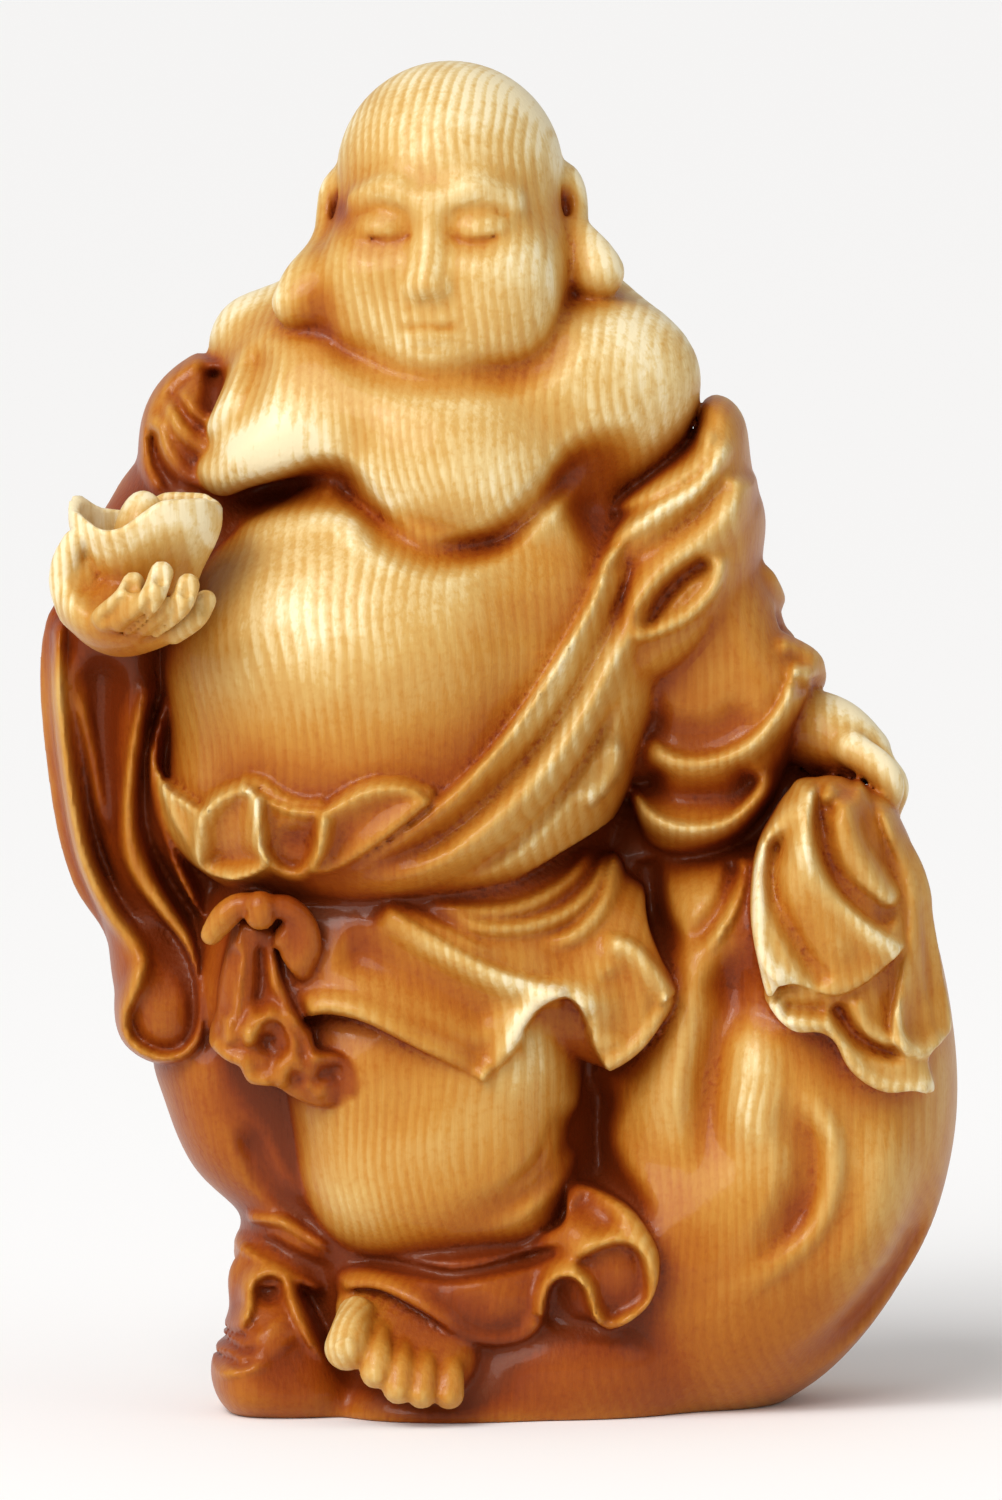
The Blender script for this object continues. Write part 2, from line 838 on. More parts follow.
@dataclass(frozen=True)
class RobeBack(Carved):
    """The back of the body under the robe: collar, sweeping folds, girdle, pleats and hem."""

    low: Point = (-82, -25, -8)
    high: Point = (62, 62, 236)
    stain: float = CLOTH
    blend: float = 3.0
    steps: tuple[Step, ...] = (
        Add(limb([[-12, 4, 188], [-13, 8, 165], [-13, 8, 130], [-14, 6, 90], [-12, 3, 50], [-10, 2, 20]],
            [31, 33, 33, 35, 33, 31]), 0),
        Add(ellipsoid([-11, 8, 190], [46, 26, 26]), 10),
        Add(ellipsoid([-14, 10, 128], [42, 28, 40]), 12),
        Add(ellipsoid([-14, 10, 84], [44, 30, 42]), 12),
        Add(ellipsoid([-12, 6, 36], [38, 32, 40]), 12),
        # collar, folds sweeping down from the left shoulder, girdle, skirt folds, hem
        Raise(30, 14, 0, [
            fold([[170, 420], [260, 410], [350, 450], [460, 470], [580, 430], [650, 370], [720, 360]], 3.2,
                2.6, 0.05, 0.05),
            fold([[670, 410], [570, 520], [430, 600], [270, 640]], 5, 2.4, 0.1, 0.2),
            fold([[680, 470], [610, 590], [500, 690], [330, 750], [230, 760]], 5, 2.6, 0.1, 0.2),
            fold([[690, 540], [640, 670], [560, 760], [420, 810]], 4.5, 2.4, 0.1, 0.2),
            fold([[210, 500], [270, 580], [370, 630]], 4, 1.8, 0.1, 0.3),
            fold([[600, 460], [470, 540], [300, 570]], 4, -1.8, 0.1, 0.2),
            fold([[650, 540], [540, 650], [380, 710], [250, 720]], 4, -2, 0.1, 0.2),
            fold([[200, 850], [350, 858], [500, 858], [680, 840]], 6, -3, 0.05, 0.05),
            fold([[200, 868], [350, 878], [500, 878], [680, 858]], 2.6, 2.4, 0.05, 0.05),
            fold([[280, 888], [270, 1010], [240, 1150]], 4.5, 2.6, 0.1, 0.05),
            fold([[360, 888], [360, 1020], [350, 1170]], 4.5, 2.6, 0.1, 0.05),
            fold([[440, 888], [450, 1020], [460, 1170]], 5, 2.6, 0.1, 0.05),
            fold([[520, 888], [550, 1020], [570, 1170]], 4.5, 2.6, 0.1, 0.05),
            fold([[320, 910], [320, 1050], [300, 1170]], 3.5, -1.8, 0.2, 0.05),
            fold([[400, 910], [410, 1050], [410, 1170]], 3.5, -1.8, 0.2, 0.05),
            fold([[480, 910], [500, 1050], [520, 1170]], 3.5, -1.8, 0.2, 0.05),
            fold([[190, 1156], [270, 1186], [350, 1166], [430, 1190], [520, 1170], [600, 1190],
                [670, 1166]], 3.4, 3.4, 0.05, 0.05),
            fold([[200, 1206], [350, 1216], [500, 1216], [650, 1206]], 5, -3, 0.05, 0.05),
        ], Facing.BACK),
    )


@dataclass(frozen=True)
class Head(Carved):
    """The bald head with its long-lobed ears, the face turned a little to its right."""

    low: Point = (-56, -52, 192)
    high: Point = (34, 28, 276)
    blend: float = 1.5
    steps: tuple[Step, ...] = (
        Add(ellipsoid(at(445, 180, -4), [22.7, 24.5, 22.8]), 0),
        Add(ellipsoid(at(442, 266, -11), [24.8, 21, 17.5]), 7),
        Add(ellipsoid(at(445, 306, -12), [22.6, 18, 13]), 6),
        # long lobed ears
        Add(limb(path([[340, 184, -3], [331, 194, -4], [327, 215, -5], [327, 240, -6]]),
            [2.2, 2.8, 2.8, 2.6]), 2, EAR),
        Add(limb(path([[327, 230, -6], [317, 258, -11], [302, 288, -18], [294, 309, -20]]),
            [2.8, 3.4, 4.8, 5.3]), 2, EAR),
        Add(limb(path([[549, 182, -3], [559, 188, -4], [566, 206, -5], [566, 232, -6]]),
            [2.2, 2.8, 2.8, 2.6]), 2, EAR),
        Add(limb(path([[565, 222, -6], [572, 240, -9], [585, 262, -12], [591, 278, -13]]),
            [2.8, 3.4, 4.6, 5.6]), 2, EAR),
        Add(ellipsoid(at(334, 222, -1), [4, 5, 9]), 3, EAR),
        Add(ellipsoid(at(562, 215, -1), [4, 5, 9]), 3, EAR),
        Cut(ellipsoid(at(331, 213, -8.5), [1.1, 1.8, 3.2]), 1, CLOTH),
        Cut(ellipsoid(at(561, 208, -8.5), [1.1, 1.8, 3.2]), 1, CLOTH),
        *(
            step
            for s in (-1, 1)
            for step in (
                Add(ellipsoid(on_face(12.4 * s, 14.6, -11.0), [10.5, 8.4, 9.5]), 8),
                Add(ellipsoid(on_face(11 * s, 11.5, -20.5), [11, 9.5, 8]), 7),
                Cut(ellipsoid(on_face(9.8 * s, 25.4, 0.8), [6.6, 4.2, 4.0]), 5),
                Add(ellipsoid(on_face(9.4 * s, 16.6, -0.2), [6.0, 5.3, 3.8]), 2),
                Add(limb([on_face(3.4 * s, 19.4, 5.6), on_face(9 * s, 19.2, 8.0),
                    on_face(15.6 * s, 14.8, 5.6)], [0.8, 1.2, 0.6]), 6),
                Cut(limb([on_face(4.2 * s, 21.0, -1.2), on_face(9.4 * s, 21.8, -2.2),
                    on_face(14.8 * s, 18.6, -0.8)], [0.2, 0.5, 0.2]), 0.8, SHADE),
                Cut(limb([on_face(4.6 * s, 21.0, 3.4), on_face(9.6 * s, 20.9, 4.7),
                    on_face(14.8 * s, 17.4, 3.0)], [0.1, 0.35, 0.1]), 1, EAR),
                Add(ellipsoid(on_face(3.0 * s, 22.6, -11.2), [2.2, 2.5, 1.9]), 1.4),
                Cut(ellipsoid(on_face(1.9 * s, 24.8, -13.2), [1.0, 1.4, 0.8]), 0.8, CLOTH),
            )
        ),
        Add(limb([on_face(0, 19.4, 4.6), on_face(0, 21.2, -2.0), on_face(0, 23.6, -8.6),
            on_face(0, 24.4, -10.4)], [1.7, 1.8, 2.5, 2.7]), 4),
        Cut(ellipsoid(on_face(0, 25.2, -14.8), [0.8, 1.5, 1.4]), 1.4, SKIN),
        Add(ellipsoid(on_face(0, 17.6, -18.6), [9.5, 4.8, 6]), 6),
        Add(limb([on_face(-7.2, 20.2, -17.4), on_face(-3.2, 22.4, -17.6), on_face(0, 22.5, -18.0),
            on_face(3.2, 22.4, -17.6), on_face(7.2, 20.2, -17.4)], [0.5, 1.3, 1.2, 1.3, 0.5]), 2),
        Add(limb([on_face(-5.6, 20.4, -19.8), on_face(-2.4, 22.0, -20.8), on_face(2.4, 22.0, -20.8),
            on_face(5.6, 20.4, -19.8)], [0.5, 1.5, 1.5, 0.5]), 2),
        Cut(limb([on_face(-8.0, 21.0, -17.6), on_face(-4.0, 23.8, -19.3), on_face(0, 24.2, -19.1),
            on_face(4.0, 23.8, -19.3), on_face(8.0, 21.0, -17.6)], [0.3, 0.45, 0.4, 0.45, 0.3]), 0.8,
            CLOTH),
        Cut(ellipsoid(on_face(0, 24.6, -23.6), [3.4, 2.0, 0.9]), 3, SKIN),
        Add(ellipsoid(on_face(0, 15.8, -25.0), [9.5, 7.0, 5.2]), 6),
    )


@dataclass(frozen=True)
class RightArm(Carved):
    """The right upper arm in the robe, down to the raised forearm."""

    low: Point = (-100, -75, 140)
    high: Point = (-30, 40, 225)
    stain: float = STAIN
    blend: float = 1.5
    steps: tuple[Step, ...] = (
        Add(slab([[206, 356], [240, 372], [250, 400], [250, 440], [240, 480], [215, 520], [185, 550],
            [150, 550], [122, 520], [124, 488], [134, 460], [138, 425], [158, 388]], 2, 18, 9, [0, 0]), 0),
        Add(limb(path([[150, 515, 6], [128, 556, -8], [116, 600, -24]]), [9, 9, 8.5]), 4),
        Add(ellipsoid(at(190, 560, -2), [14, 18, 20]), 6),
        Raise(-14, 6, 0, [
            fold([[203, 360], [164, 388], [144, 425], [142, 470], [160, 500]], 2.4, 1.5, 0.1, 0.1),
            fold([[160, 402], [176, 434], [204, 456], [236, 462]], 2.4, 1.8, 0.15, 0.1),
            fold([[152, 416], [160, 450], [184, 480], [208, 490]], 2.4, 1.8, 0.15, 0.1),
            fold([[212, 372], [210, 410], [232, 436]], 4, -3.2),
            fold([[148, 430], [152, 466], [174, 500]], 1.8, -1.6),
            fold([[166, 396], [186, 424], [222, 444]], 2, -1.1),
            fold([[172, 392], [192, 418], [222, 434]], 2, 1.3),
        ]),
    )


@dataclass(frozen=True)
class HangingSleeve(Carved):
    """The long sleeve that hangs from the raised forearm."""

    low: Point = (-100, -60, 50)
    high: Point = (-36, 40, 190)
    stain: float = STAIN
    blend: float = 1.5
    steps: tuple[Step, ...] = (
        Add(slab([[60, 590], [48, 640], [47, 700], [55, 780], [66, 845], [84, 900], [101, 935], [105, 975],
            [113, 1015], [120, 1042], [140, 1060], [168, 1065], [192, 1057], [208, 1030], [206, 990],
            [200, 950], [180, 900], [166, 850], [162, 760], [165, 680], [160, 600], [110, 570]], -8, 16, 8,
            [0, 0]), 0),
        Add(ellipsoid(at(180, 800, 6), [14, 20, 46], [0, -10, 0]), 8),
        Raise(-20, -3, 0, [
            Crest([[57, 612], [55, 690], [65, 780], [82, 862], [106, 912], [126, 938], [140, 962],
                [131, 990], [120, 1018], [125, 1044], [150, 1060], [177, 1058], [194, 1038], [198, 1000],
                [188, 956], [160, 918], [134, 884], [121, 848], [124, 790], [138, 710], [144, 670]], 1.8,
                3.2, 3.4, 0.03, 0.05),
            fold([[98, 650], [96, 750], [106, 850], [134, 914], [160, 962], [164, 1015]], 7, -7, 0.1, 0.2),
            fold([[74, 690], [88, 760], [100, 840]], 2, 2, 0.2, 0.3),
            Crest([[168, 690], [150, 752], [154, 806], [170, 862], [190, 908], [206, 944], [208, 990]], 2.6,
                1.6, 2.8, 0.05, 0.1),
            fold([[152, 690], [137, 770], [141, 840], [165, 892], [197, 942], [205, 1000]], 2.6, -3, 0.1,
                0.1),
        ]),
        RaiseSide(-74, Flank.RIGHT, [
            fold([[420, 560], [440, 710], [460, 860], [480, 960]], 4, 2.4),
            fold([[490, 560], [520, 710], [530, 850], [520, 950]], 4, 2.4),
            fold([[455, 590], [480, 740], [500, 870]], 4, -2.2),
        ]),
    )


@dataclass(frozen=True)
class LeftArm(Carved):
    """The left sleeve down to the hand on the sack."""

    low: Point = (8, -45, 95)
    high: Point = (75, 45, 215)
    stain: float = CLOTH
    blend: float = 1.5
    steps: tuple[Step, ...] = (
        Add(slab([[715, 470], [745, 505], [754, 560], [770, 600], [786, 642], [806, 656], [812, 680],
            [800, 720], [778, 785], [752, 830], [715, 858], [670, 862], [635, 845], [622, 790], [620, 720],
            [618, 650], [640, 580], [680, 520]], -4, 19, 11, [0, 0]), 0),
        Raise(-25, 6, 0, [
            Crest([[640, 738], [660, 760], [696, 766], [740, 751], [770, 722], [786, 692], [792, 668]], 1.6,
                4.5, 3.4, 0.12, 0.05),
            fold([[634, 716], [668, 738], [712, 738], [752, 708]], 6, -2),
            Crest([[620, 792], [646, 821], [682, 833], [722, 827], [748, 804], [764, 774]], 1.6, 4.5, 3.2,
                0.1, 0.15),
            fold([[634, 776], [668, 802], [716, 802], [754, 774]], 5, -4, 0.15, 0.15),
            Crest([[768, 648], [792, 655], [808, 668], [811, 690]], 2, 3, 1.8, 0.2, 0.1),
            fold([[786, 680], [798, 706]], 2.2, -2, 0.3, 0.3),
            fold([[622, 650], [616, 740], [626, 860]], 3, -2.4, 0.1, 0.1),
        ]),
        RaiseSide(50, Flank.LEFT, [
            fold([[440, 560], [500, 600], [560, 570]], 4, 2),
            fold([[430, 640], [500, 690], [580, 650]], 4, 2.2),
            fold([[440, 610], [500, 650], [560, 620]], 4, -2),
        ]),
    )


@dataclass(frozen=True)
class ShoulderCloth(Carved):
    """The robe slipped off the left shoulder, in bunched folds."""

    low: Point = (12, -60, 130)
    high: Point = (62, 40, 220)
    stain: float = CLOTH
    blend: float = 1.5
    steps: tuple[Step, ...] = (
        Add(slab([[640, 480], [690, 440], [694, 398], [722, 400], [741, 424], [745, 460], [750, 490],
            [761, 515], [758, 560], [740, 610], [700, 660], [650, 690], [612, 690], [598, 650], [596, 590],
            [604, 530]], -6, 22, 9, [0.35, 0]), 0),
        Raise(-25, 4, 0, [
            Crest([[706, 432], [693, 468], [652, 495], [612, 514], [588, 523]], 2.2, 2.4, 1.3, 0.1, 0.1),
            Crest([[722, 444], [696, 488], [654, 513], [614, 541], [588, 568]], 3, 2, 2, 0.1, 0.1),
            fold([[730, 478], [690, 522], [646, 558], [616, 592], [598, 632]], 4.2, -2.2, 0.1, 0.15),
            fold([[734, 480], [720, 520], [692, 547], [656, 573], [629, 607], [607, 648], [596, 672]], 5.5,
                3, 0.05, 0.15),
            fold([[706, 562], [678, 578], [652, 605], [634, 632]], 3.2, -4, 0.15, 0.15),
            Crest([[716, 556], [711, 588], [686, 617], [655, 633], [622, 642]], 1.6, 3, 2.8, 0.1, 0.1),
        ]),
    )


@dataclass(frozen=True)
class Sack(Carved):
    """The big sack that the left hand rests on."""

    low: Point = (-30, -50, -8)
    high: Point = (100, 52, 150)
    stain: float = SACK
    blend: float = 1.5
    steps: tuple[Step, ...] = (
        Add(slab([[800, 800], [850, 800], [885, 850], [912, 890], [930, 935], [944, 1010], [951, 1090],
            [945, 1160], [922, 1240], [880, 1308], [836, 1360], [800, 1390], [740, 1420], [640, 1440],
            [520, 1440], [480, 1420], [500, 1340], [545, 1240], [560, 1180], [570, 1080], [620, 960],
            [640, 870], [700, 840], [760, 830]], 2, 30, 20, [0, 0]), 0),
        Add(ellipsoid(at(780, 1120, 2), [29, 36, 46], [0, 8, 0]), 10),
        Add(ellipsoid(at(690, 1260, 0), [31, 36, 28]), 12),
        Add(ellipsoid(at(650, 870, 4), [18, 14, 16]), 6),
        Add(ellipsoid(at(775, 815, 4), [10, 13, 13]), 6),
        Add(ellipsoid(at(600, 1080, 6), [16, 20, 40]), 8),
        Raise(-28, 4, 0, [
            fold([[790, 1085], [824, 1140], [818, 1210], [775, 1262], [690, 1310]], 3.6, 1.8, 0.2, 0.4),
            fold([[764, 1090], [800, 1150], [788, 1220], [735, 1275]], 7, -3, 0.3, 0.4),
            fold([[742, 862], [727, 912], [697, 962]], 2, 2.2, 0.1, 0.3),
            fold([[733, 870], [714, 915], [680, 955]], 3, -1.8, 0.1, 0.3),
            fold([[640, 870], [655, 930], [680, 965]], 4, -2.6, 0.1, 0.3),
            fold([[704, 930], [684, 1000], [662, 1090], [664, 1190]], 9, 2.6, 0.2, 0.4),
            fold([[724, 940], [716, 1020], [704, 1110], [712, 1200]], 7, -2.6, 0.2, 0.4),
            fold([[752, 1010], [748, 1080], [744, 1160]], 8, 2.2, 0.3, 0.4),
            fold([[868, 1110], [880, 1180], [856, 1250], [800, 1310]], 8, 2.2, 0.3, 0.4),
            fold([[700, 965], [740, 1000], [770, 1080]], 8, -1.5, 0.2, 0.5),
            fold([[600, 1080], [585, 1150], [620, 1210], [650, 1240]], 7, -4, 0.2, 0.3),
        ]),
        Raise(-20, 4, 0, [
            fold([[925, 1170], [906, 1240], [870, 1300], [820, 1350], [760, 1380]], 4.5, -2.8, 0.3, 0.4),
        ]),
        Raise(30, 8, 0, [
            fold([[800, 860], [760, 960], [770, 1090]], 7, -2, 0.2, 0.5),
            fold([[850, 860], [860, 960], [900, 1060]], 7, -2, 0.2, 0.5),
            fold([[830, 880], [815, 980], [830, 1120]], 7, 1.8, 0.2, 0.5),
            fold([[900, 1180], [840, 1300], [740, 1370]], 6, -2.2, 0.3, 0.4),
        ], Facing.BACK),
    )


@dataclass(frozen=True)
class PetalsUnder(Carved):
    """The lower layer of the sack's gathered neck cloth."""

    low: Point = (30, -60, 40)
    high: Point = (100, 40, 150)
    stain: float = SACK
    blend: float = 0.6
    steps: tuple[Step, ...] = (
        Add(slab([[838, 790], [872, 796], [904, 850], [924, 900], [936, 960], [946, 1030], [960, 1080],
            [950, 1130], [895, 1140], [830, 1120], [770, 1070], [740, 1030], [760, 960], [790, 860]], -18,
            17, 12, [0.35, 0]), 0),
        Raise(-36, 0, 0, [
            Crest([[758, 1003], [778, 1022], [806, 1026], [824, 1030], [838, 1052], [856, 1078],
                [884, 1094], [924, 1100]], 3, 1.6, 1.8, 0.05, 0.02),
            fold([[826, 1004], [842, 1034], [866, 1052], [900, 1061]], 2.6, -3.4, 0.1, 0.15),
            Crest([[846, 1000], [858, 1030], [880, 1050], [906, 1058]], 3.2, 1.6, 1.6, 0.1, 0.15),
            Crest([[868, 800], [886, 846], [902, 890], [906, 930], [897, 986], [890, 1022], [893, 1046],
                [910, 1059], [930, 1056], [943, 1042]], 4.5, 1.6, 2.4, 0.1, 0.05),
            fold([[918, 900], [926, 960], [932, 1020]], 3.5, -1.2),
            fold([[772, 1012], [800, 1012], [822, 1014]], 3, -2),
        ]),
        RaiseSide(74, Flank.LEFT, [
            fold([[352, 820], [340, 930], [352, 1060]], 5, -2.6),
            fold([[392, 820], [386, 930], [396, 1060]], 4, 2.4, 0.2, 0.1),
            fold([[430, 830], [438, 940], [430, 1060]], 5, -2.6),
            fold([[470, 840], [484, 940], [476, 1050]], 5, 2.2, 0.2, 0.1),
        ]),
        Trim([[820, 780], [868, 790], [900, 840], [922, 890], [932, 940], [940, 990], [946, 1036],
            [938, 1050], [926, 1060], [922, 1072], [928, 1100], [905, 1097], [880, 1098], [858, 1088],
            [840, 1070], [828, 1046], [812, 1036], [786, 1034], [764, 1012], [758, 990], [770, 900],
            [790, 820]], -38, 1),
    )


@dataclass(frozen=True)
class PetalsOver(Carved):
    """The upper layer of the sack's gathered neck cloth."""

    low: Point = (30, -64, 50)
    high: Point = (100, 40, 150)
    stain: float = LEAF
    blend: float = 0.6
    steps: tuple[Step, ...] = (
        Add(slab([[800, 784], [848, 784], [872, 830], [895, 880], [915, 940], [910, 1000], [860, 1040],
            [800, 1040], [740, 1030], [728, 960], [738, 880], [768, 816]], -22, 18, 11, [0.28, 0]), 0),
        Raise(-38, 0, 0, [
            Crest([[806, 788], [800, 826], [810, 866], [832, 902], [862, 932], [897, 956]], 1.6, 5, 3, 0.05,
                0.02),
            fold([[822, 800], [816, 842], [832, 884], [862, 912], [892, 930]], 3.2, -3.6, 0.1, 0.1),
            fold([[838, 800], [846, 842], [866, 880], [890, 914]], 4, 2.2, 0.1, 0.1),
            Crest([[826, 790], [818, 812], [826, 836]], 2.4, 1.6, 1.6, 0.1, 0.3),
            Crest([[850, 790], [868, 822], [882, 862]], 1.6, 3, 1.8, 0.1, 0.3),
            fold([[776, 830], [766, 880], [782, 930], [806, 970], [822, 992]], 3.4, -2.8, 0.15, 0.1),
            Crest([[790, 800], [760, 846], [750, 900], [752, 950], [768, 978], [792, 986]], 3.4, 2, 2, 0.1,
                0.1),
            fold([[796, 830], [796, 880], [822, 930], [850, 968]], 4, 1.6),
        ]),
        Trim([[796, 784], [850, 784], [872, 822], [886, 862], [902, 900], [905, 940], [898, 957],
            [882, 970], [862, 986], [842, 997], [824, 1000], [804, 994], [788, 988], [772, 990],
            [762, 1002], [752, 970], [744, 920], [750, 862], [770, 822]], -42, 1),
    )


@dataclass(frozen=True)
class LeftHand(Carved):
    """The left hand, with its fingers over the sack's neck."""

    low: Point = (45, -40, 105)
    high: Point = (95, 25, 165)
    steps: tuple[Step, ...] = (
        Add(limb(path([[788, 728, -5], [826, 738, -8], [858, 758, -9]]), [7.8, 7.4, 5.6]), 0),
        Add(ellipsoid(at(838, 748, -3), [10, 13, 6.4], [0, 34, 0]), 3),
        Add(limb(path([[846, 754, -16], [872, 772, -18], [884, 790, -18], [880, 812, -15]]),
            [3.6, 3.4, 3, 2.6]), 1.6),
        Add(limb(path([[850, 758, -9], [876, 774, -11], [889, 792, -11], [884, 814, -9]]),
            [3.6, 3.4, 3, 2.6]), 1.6),
        Add(limb(path([[850, 758, -2], [876, 776, -4], [888, 794, -4], [883, 815, -2]]),
            [3.6, 3.4, 3, 2.6]), 1.6),
        Add(limb(path([[848, 758, 5], [872, 776, 4], [882, 794, 4], [878, 812, 5]]), [3.4, 3, 2.8, 2.4]),
            1.6),
        Add(limb(path([[806, 744, -8], [814, 766, -6], [830, 788, -4]]), [3.6, 3.2, 2.6]), 1.5),
    )


@dataclass(frozen=True)
class Skirt(Carved):
    """The skirt below the belly, with its flared and turned hem."""

    low: Point = (-70, -68, 50)
    high: Point = (52, 45, 125)
    stain: float = CLOTH
    steps: tuple[Step, ...] = (
        Add(ellipsoid(at(415, 935, -6), [45, 35, 26]), 0),
        Add(ellipsoid(at(420, 1000, -14), [47, 30, 24]), 8),
        Add(ellipsoid(at(600, 990, -16), [16, 22, 22]), 6),
        Raise(-42, -4, 0, [
            Crest([[416, 902], [450, 912], [500, 914], [540, 902], [572, 880], [592, 848]], 1.6, 2.8, 2),
            Crest([[436, 917], [480, 930], [528, 929], [566, 915], [594, 886], [604, 850]], 1.6, 2.8, 2.2),
            Crest([[530, 950], [568, 940], [596, 912], [609, 878], [609, 850]], 1.6, 3, 2.2, 0.3, 0.2),
            Crest([[372, 908], [420, 936], [462, 960], [502, 979], [542, 991], [564, 998]], 1.6, 5.5, 3.4,
                0.1, 0.05),
            Crest([[376, 902], [424, 926], [466, 948], [500, 962]], 1.6, 2, 1.6, 0.1, 0.3),
            fold([[330, 950], [400, 978], [466, 1010], [500, 1030]], 6.5, -2.4, 0.15, 0.15),
            Crest([[300, 1018], [322, 1011], [352, 1016], [384, 1030], [414, 1047], [446, 1064],
                [480, 1087]], 5, 1.6, 2.8, 0.05, 0.02),
            layer([[518, 1044], [526, 1022], [541, 1007], [557, 1001], [572, 1010], [581, 1028],
                [588, 1054], [600, 1090], [540, 1090]], -4.5, 1.2),
            Crest([[480, 1088], [506, 1050], [524, 1019], [541, 1004], [557, 998], [575, 1008],
                [584, 1026]], 4.5, 1.6, 2.8, 0.02, 0.1),
            Crest([[594, 944], [626, 952], [650, 978], [668, 1004]], 1.6, 4.5, 3, 0.2, 0.02),
            Crest([[668, 1004], [650, 1034], [630, 1058], [598, 1078]], 1.6, 3, 1.8, 0.05, 0.05),
            fold([[602, 972], [618, 1008], [606, 1050]], 5, -1.8),
        ]),
        Trim([[200, 880], [320, 860], [450, 860], [560, 830], [640, 820], [640, 920], [654, 966],
            [673, 1004], [654, 1036], [632, 1062], [606, 1079], [590, 1078], [560, 1064], [528, 1056],
            [512, 1062], [494, 1078], [480, 1090], [440, 1066], [398, 1044], [350, 1022], [300, 1022],
            [230, 1060], [180, 1040], [150, 950]], -42, 1),
    )


@dataclass(frozen=True)
class BackLeg(Carved):
    """The right leg under the cloth."""

    low: Point = (-80, -62, -6)
    high: Point = (40, 40, 110)
    stain: float = SHADE
    blend: float = 1.5
    steps: tuple[Step, ...] = (
        Add(slab([[150, 1040], [160, 1110], [184, 1168], [212, 1198], [242, 1224], [226, 1246], [226, 1262],
            [244, 1290], [320, 1310], [400, 1260], [420, 1100], [380, 1000], [250, 980]], -2, 22, 12,
            [0, 0]), 0),
        Raise(-20, 4, 0, [
            fold([[236, 1120], [262, 1180], [320, 1240]], 4, -2.2),
            fold([[228, 1250], [262, 1268], [330, 1300]], 1.8, 2.4, 0.1, 0.2),
            fold([[250, 1240], [276, 1252], [330, 1278]], 2.4, -1.8, 0.3, 0.2),
            fold([[238, 1224], [280, 1226], [330, 1256]], 1.8, 1.8, 0.1, 0.2),
        ]),
    )


@dataclass(frozen=True)
class FrontLeg(Carved):
    """The left knee and shin that step forward."""

    low: Point = (-75, -62, -6)
    high: Point = (40, 40, 110)
    steps: tuple[Step, ...] = (
        Add(slab([[300, 980], [290, 1060], [284, 1120], [290, 1180], [312, 1230], [350, 1260], [420, 1272],
            [500, 1266], [556, 1244], [572, 1190], [574, 1120], [570, 1040], [560, 980]], -14, 26, 18,
            [0, 0]), 0),
        Add(ellipsoid(at(430, 1140, -16), [25, 26, 26]), 6),
        Add(ellipsoid(at(440, 1060, -14), [26, 26, 20]), 6),
        Add(ellipsoid(at(362, 1068, -20), [16, 20, 18]), 6),
        Raise(-35, -6, 0, [
            fold([[568, 1106], [550, 1160], [510, 1198], [440, 1222]], 5, -2.2, 0.2, 0.5),
            Crest([[558, 1120], [536, 1174], [492, 1204]], 3.4, 2, 1.3, 0.3, 0.4),
            fold([[562, 1150], [544, 1190], [506, 1222]], 3, 1.1, 0.2, 0.3),
        ]),
    )


@dataclass(frozen=True)
class Cuff(Carved):
    """The trouser's wavy hem at the front foot."""

    low: Point = (-75, -62, -6)
    high: Point = (45, 40, 65)
    stain: float = CLOTH
    steps: tuple[Step, ...] = (
        Add(ellipsoid(at(462, 1290, -12), [30, 29, 15], [0, -2, 0]), 0),
        Add(ellipsoid(at(602, 1268, -19), [19, 23, 21]), 4),
        Raise(-38, -2, 0, [
            fold([[336, 1266], [400, 1272], [450, 1278], [508, 1268], [566, 1250]], 2, -2.2, 0.05, 0.1),
            Crest([[334, 1298], [352, 1290], [376, 1290], [404, 1301], [432, 1318], [452, 1337],
                [478, 1346], [504, 1346], [524, 1338], [537, 1318]], 4, 1.6, 2.4, 0.05, 0.05),
            layer([[543, 1330], [542, 1296], [552, 1281], [566, 1278], [579, 1288], [585, 1305],
                [586, 1335]], -2.8, 1.4),
            Crest([[536, 1322], [539, 1296], [550, 1279], [566, 1275], [581, 1286], [588, 1308],
                [598, 1326]], 3, 1.6, 2.6, 0.05, 0.05),
            layer([[572, 1266], [590, 1251], [614, 1245], [631, 1252], [640, 1268], [642, 1300],
                [622, 1316], [600, 1321], [590, 1306], [586, 1286]], -3.4, 2.2),
            Crest([[566, 1260], [582, 1251], [600, 1243], [616, 1240], [632, 1247], [642, 1266],
                [645, 1290]], 3, 1.8, 1.2, 0.15, 0.2),
            fold([[568, 1202], [588, 1218], [614, 1232]], 5, -1.8, 0.2, 0.3),
            Crest([[590, 1200], [620, 1216], [642, 1244], [650, 1272], [642, 1302], [622, 1320],
                [604, 1329]], 1.8, 3.4, 1.7, 0.2, 0.1),
            fold([[420, 1290], [490, 1312]], 5, -0.8),
        ]),
        Trim([[330, 1250], [400, 1250], [500, 1245], [556, 1230], [566, 1192], [620, 1210], [648, 1244],
            [654, 1272], [645, 1304], [625, 1323], [604, 1332], [588, 1324], [564, 1322], [541, 1326],
            [524, 1342], [504, 1350], [476, 1350], [450, 1341], [430, 1322], [402, 1305], [376, 1294],
            [352, 1294], [332, 1302]], -38, 1),
    )


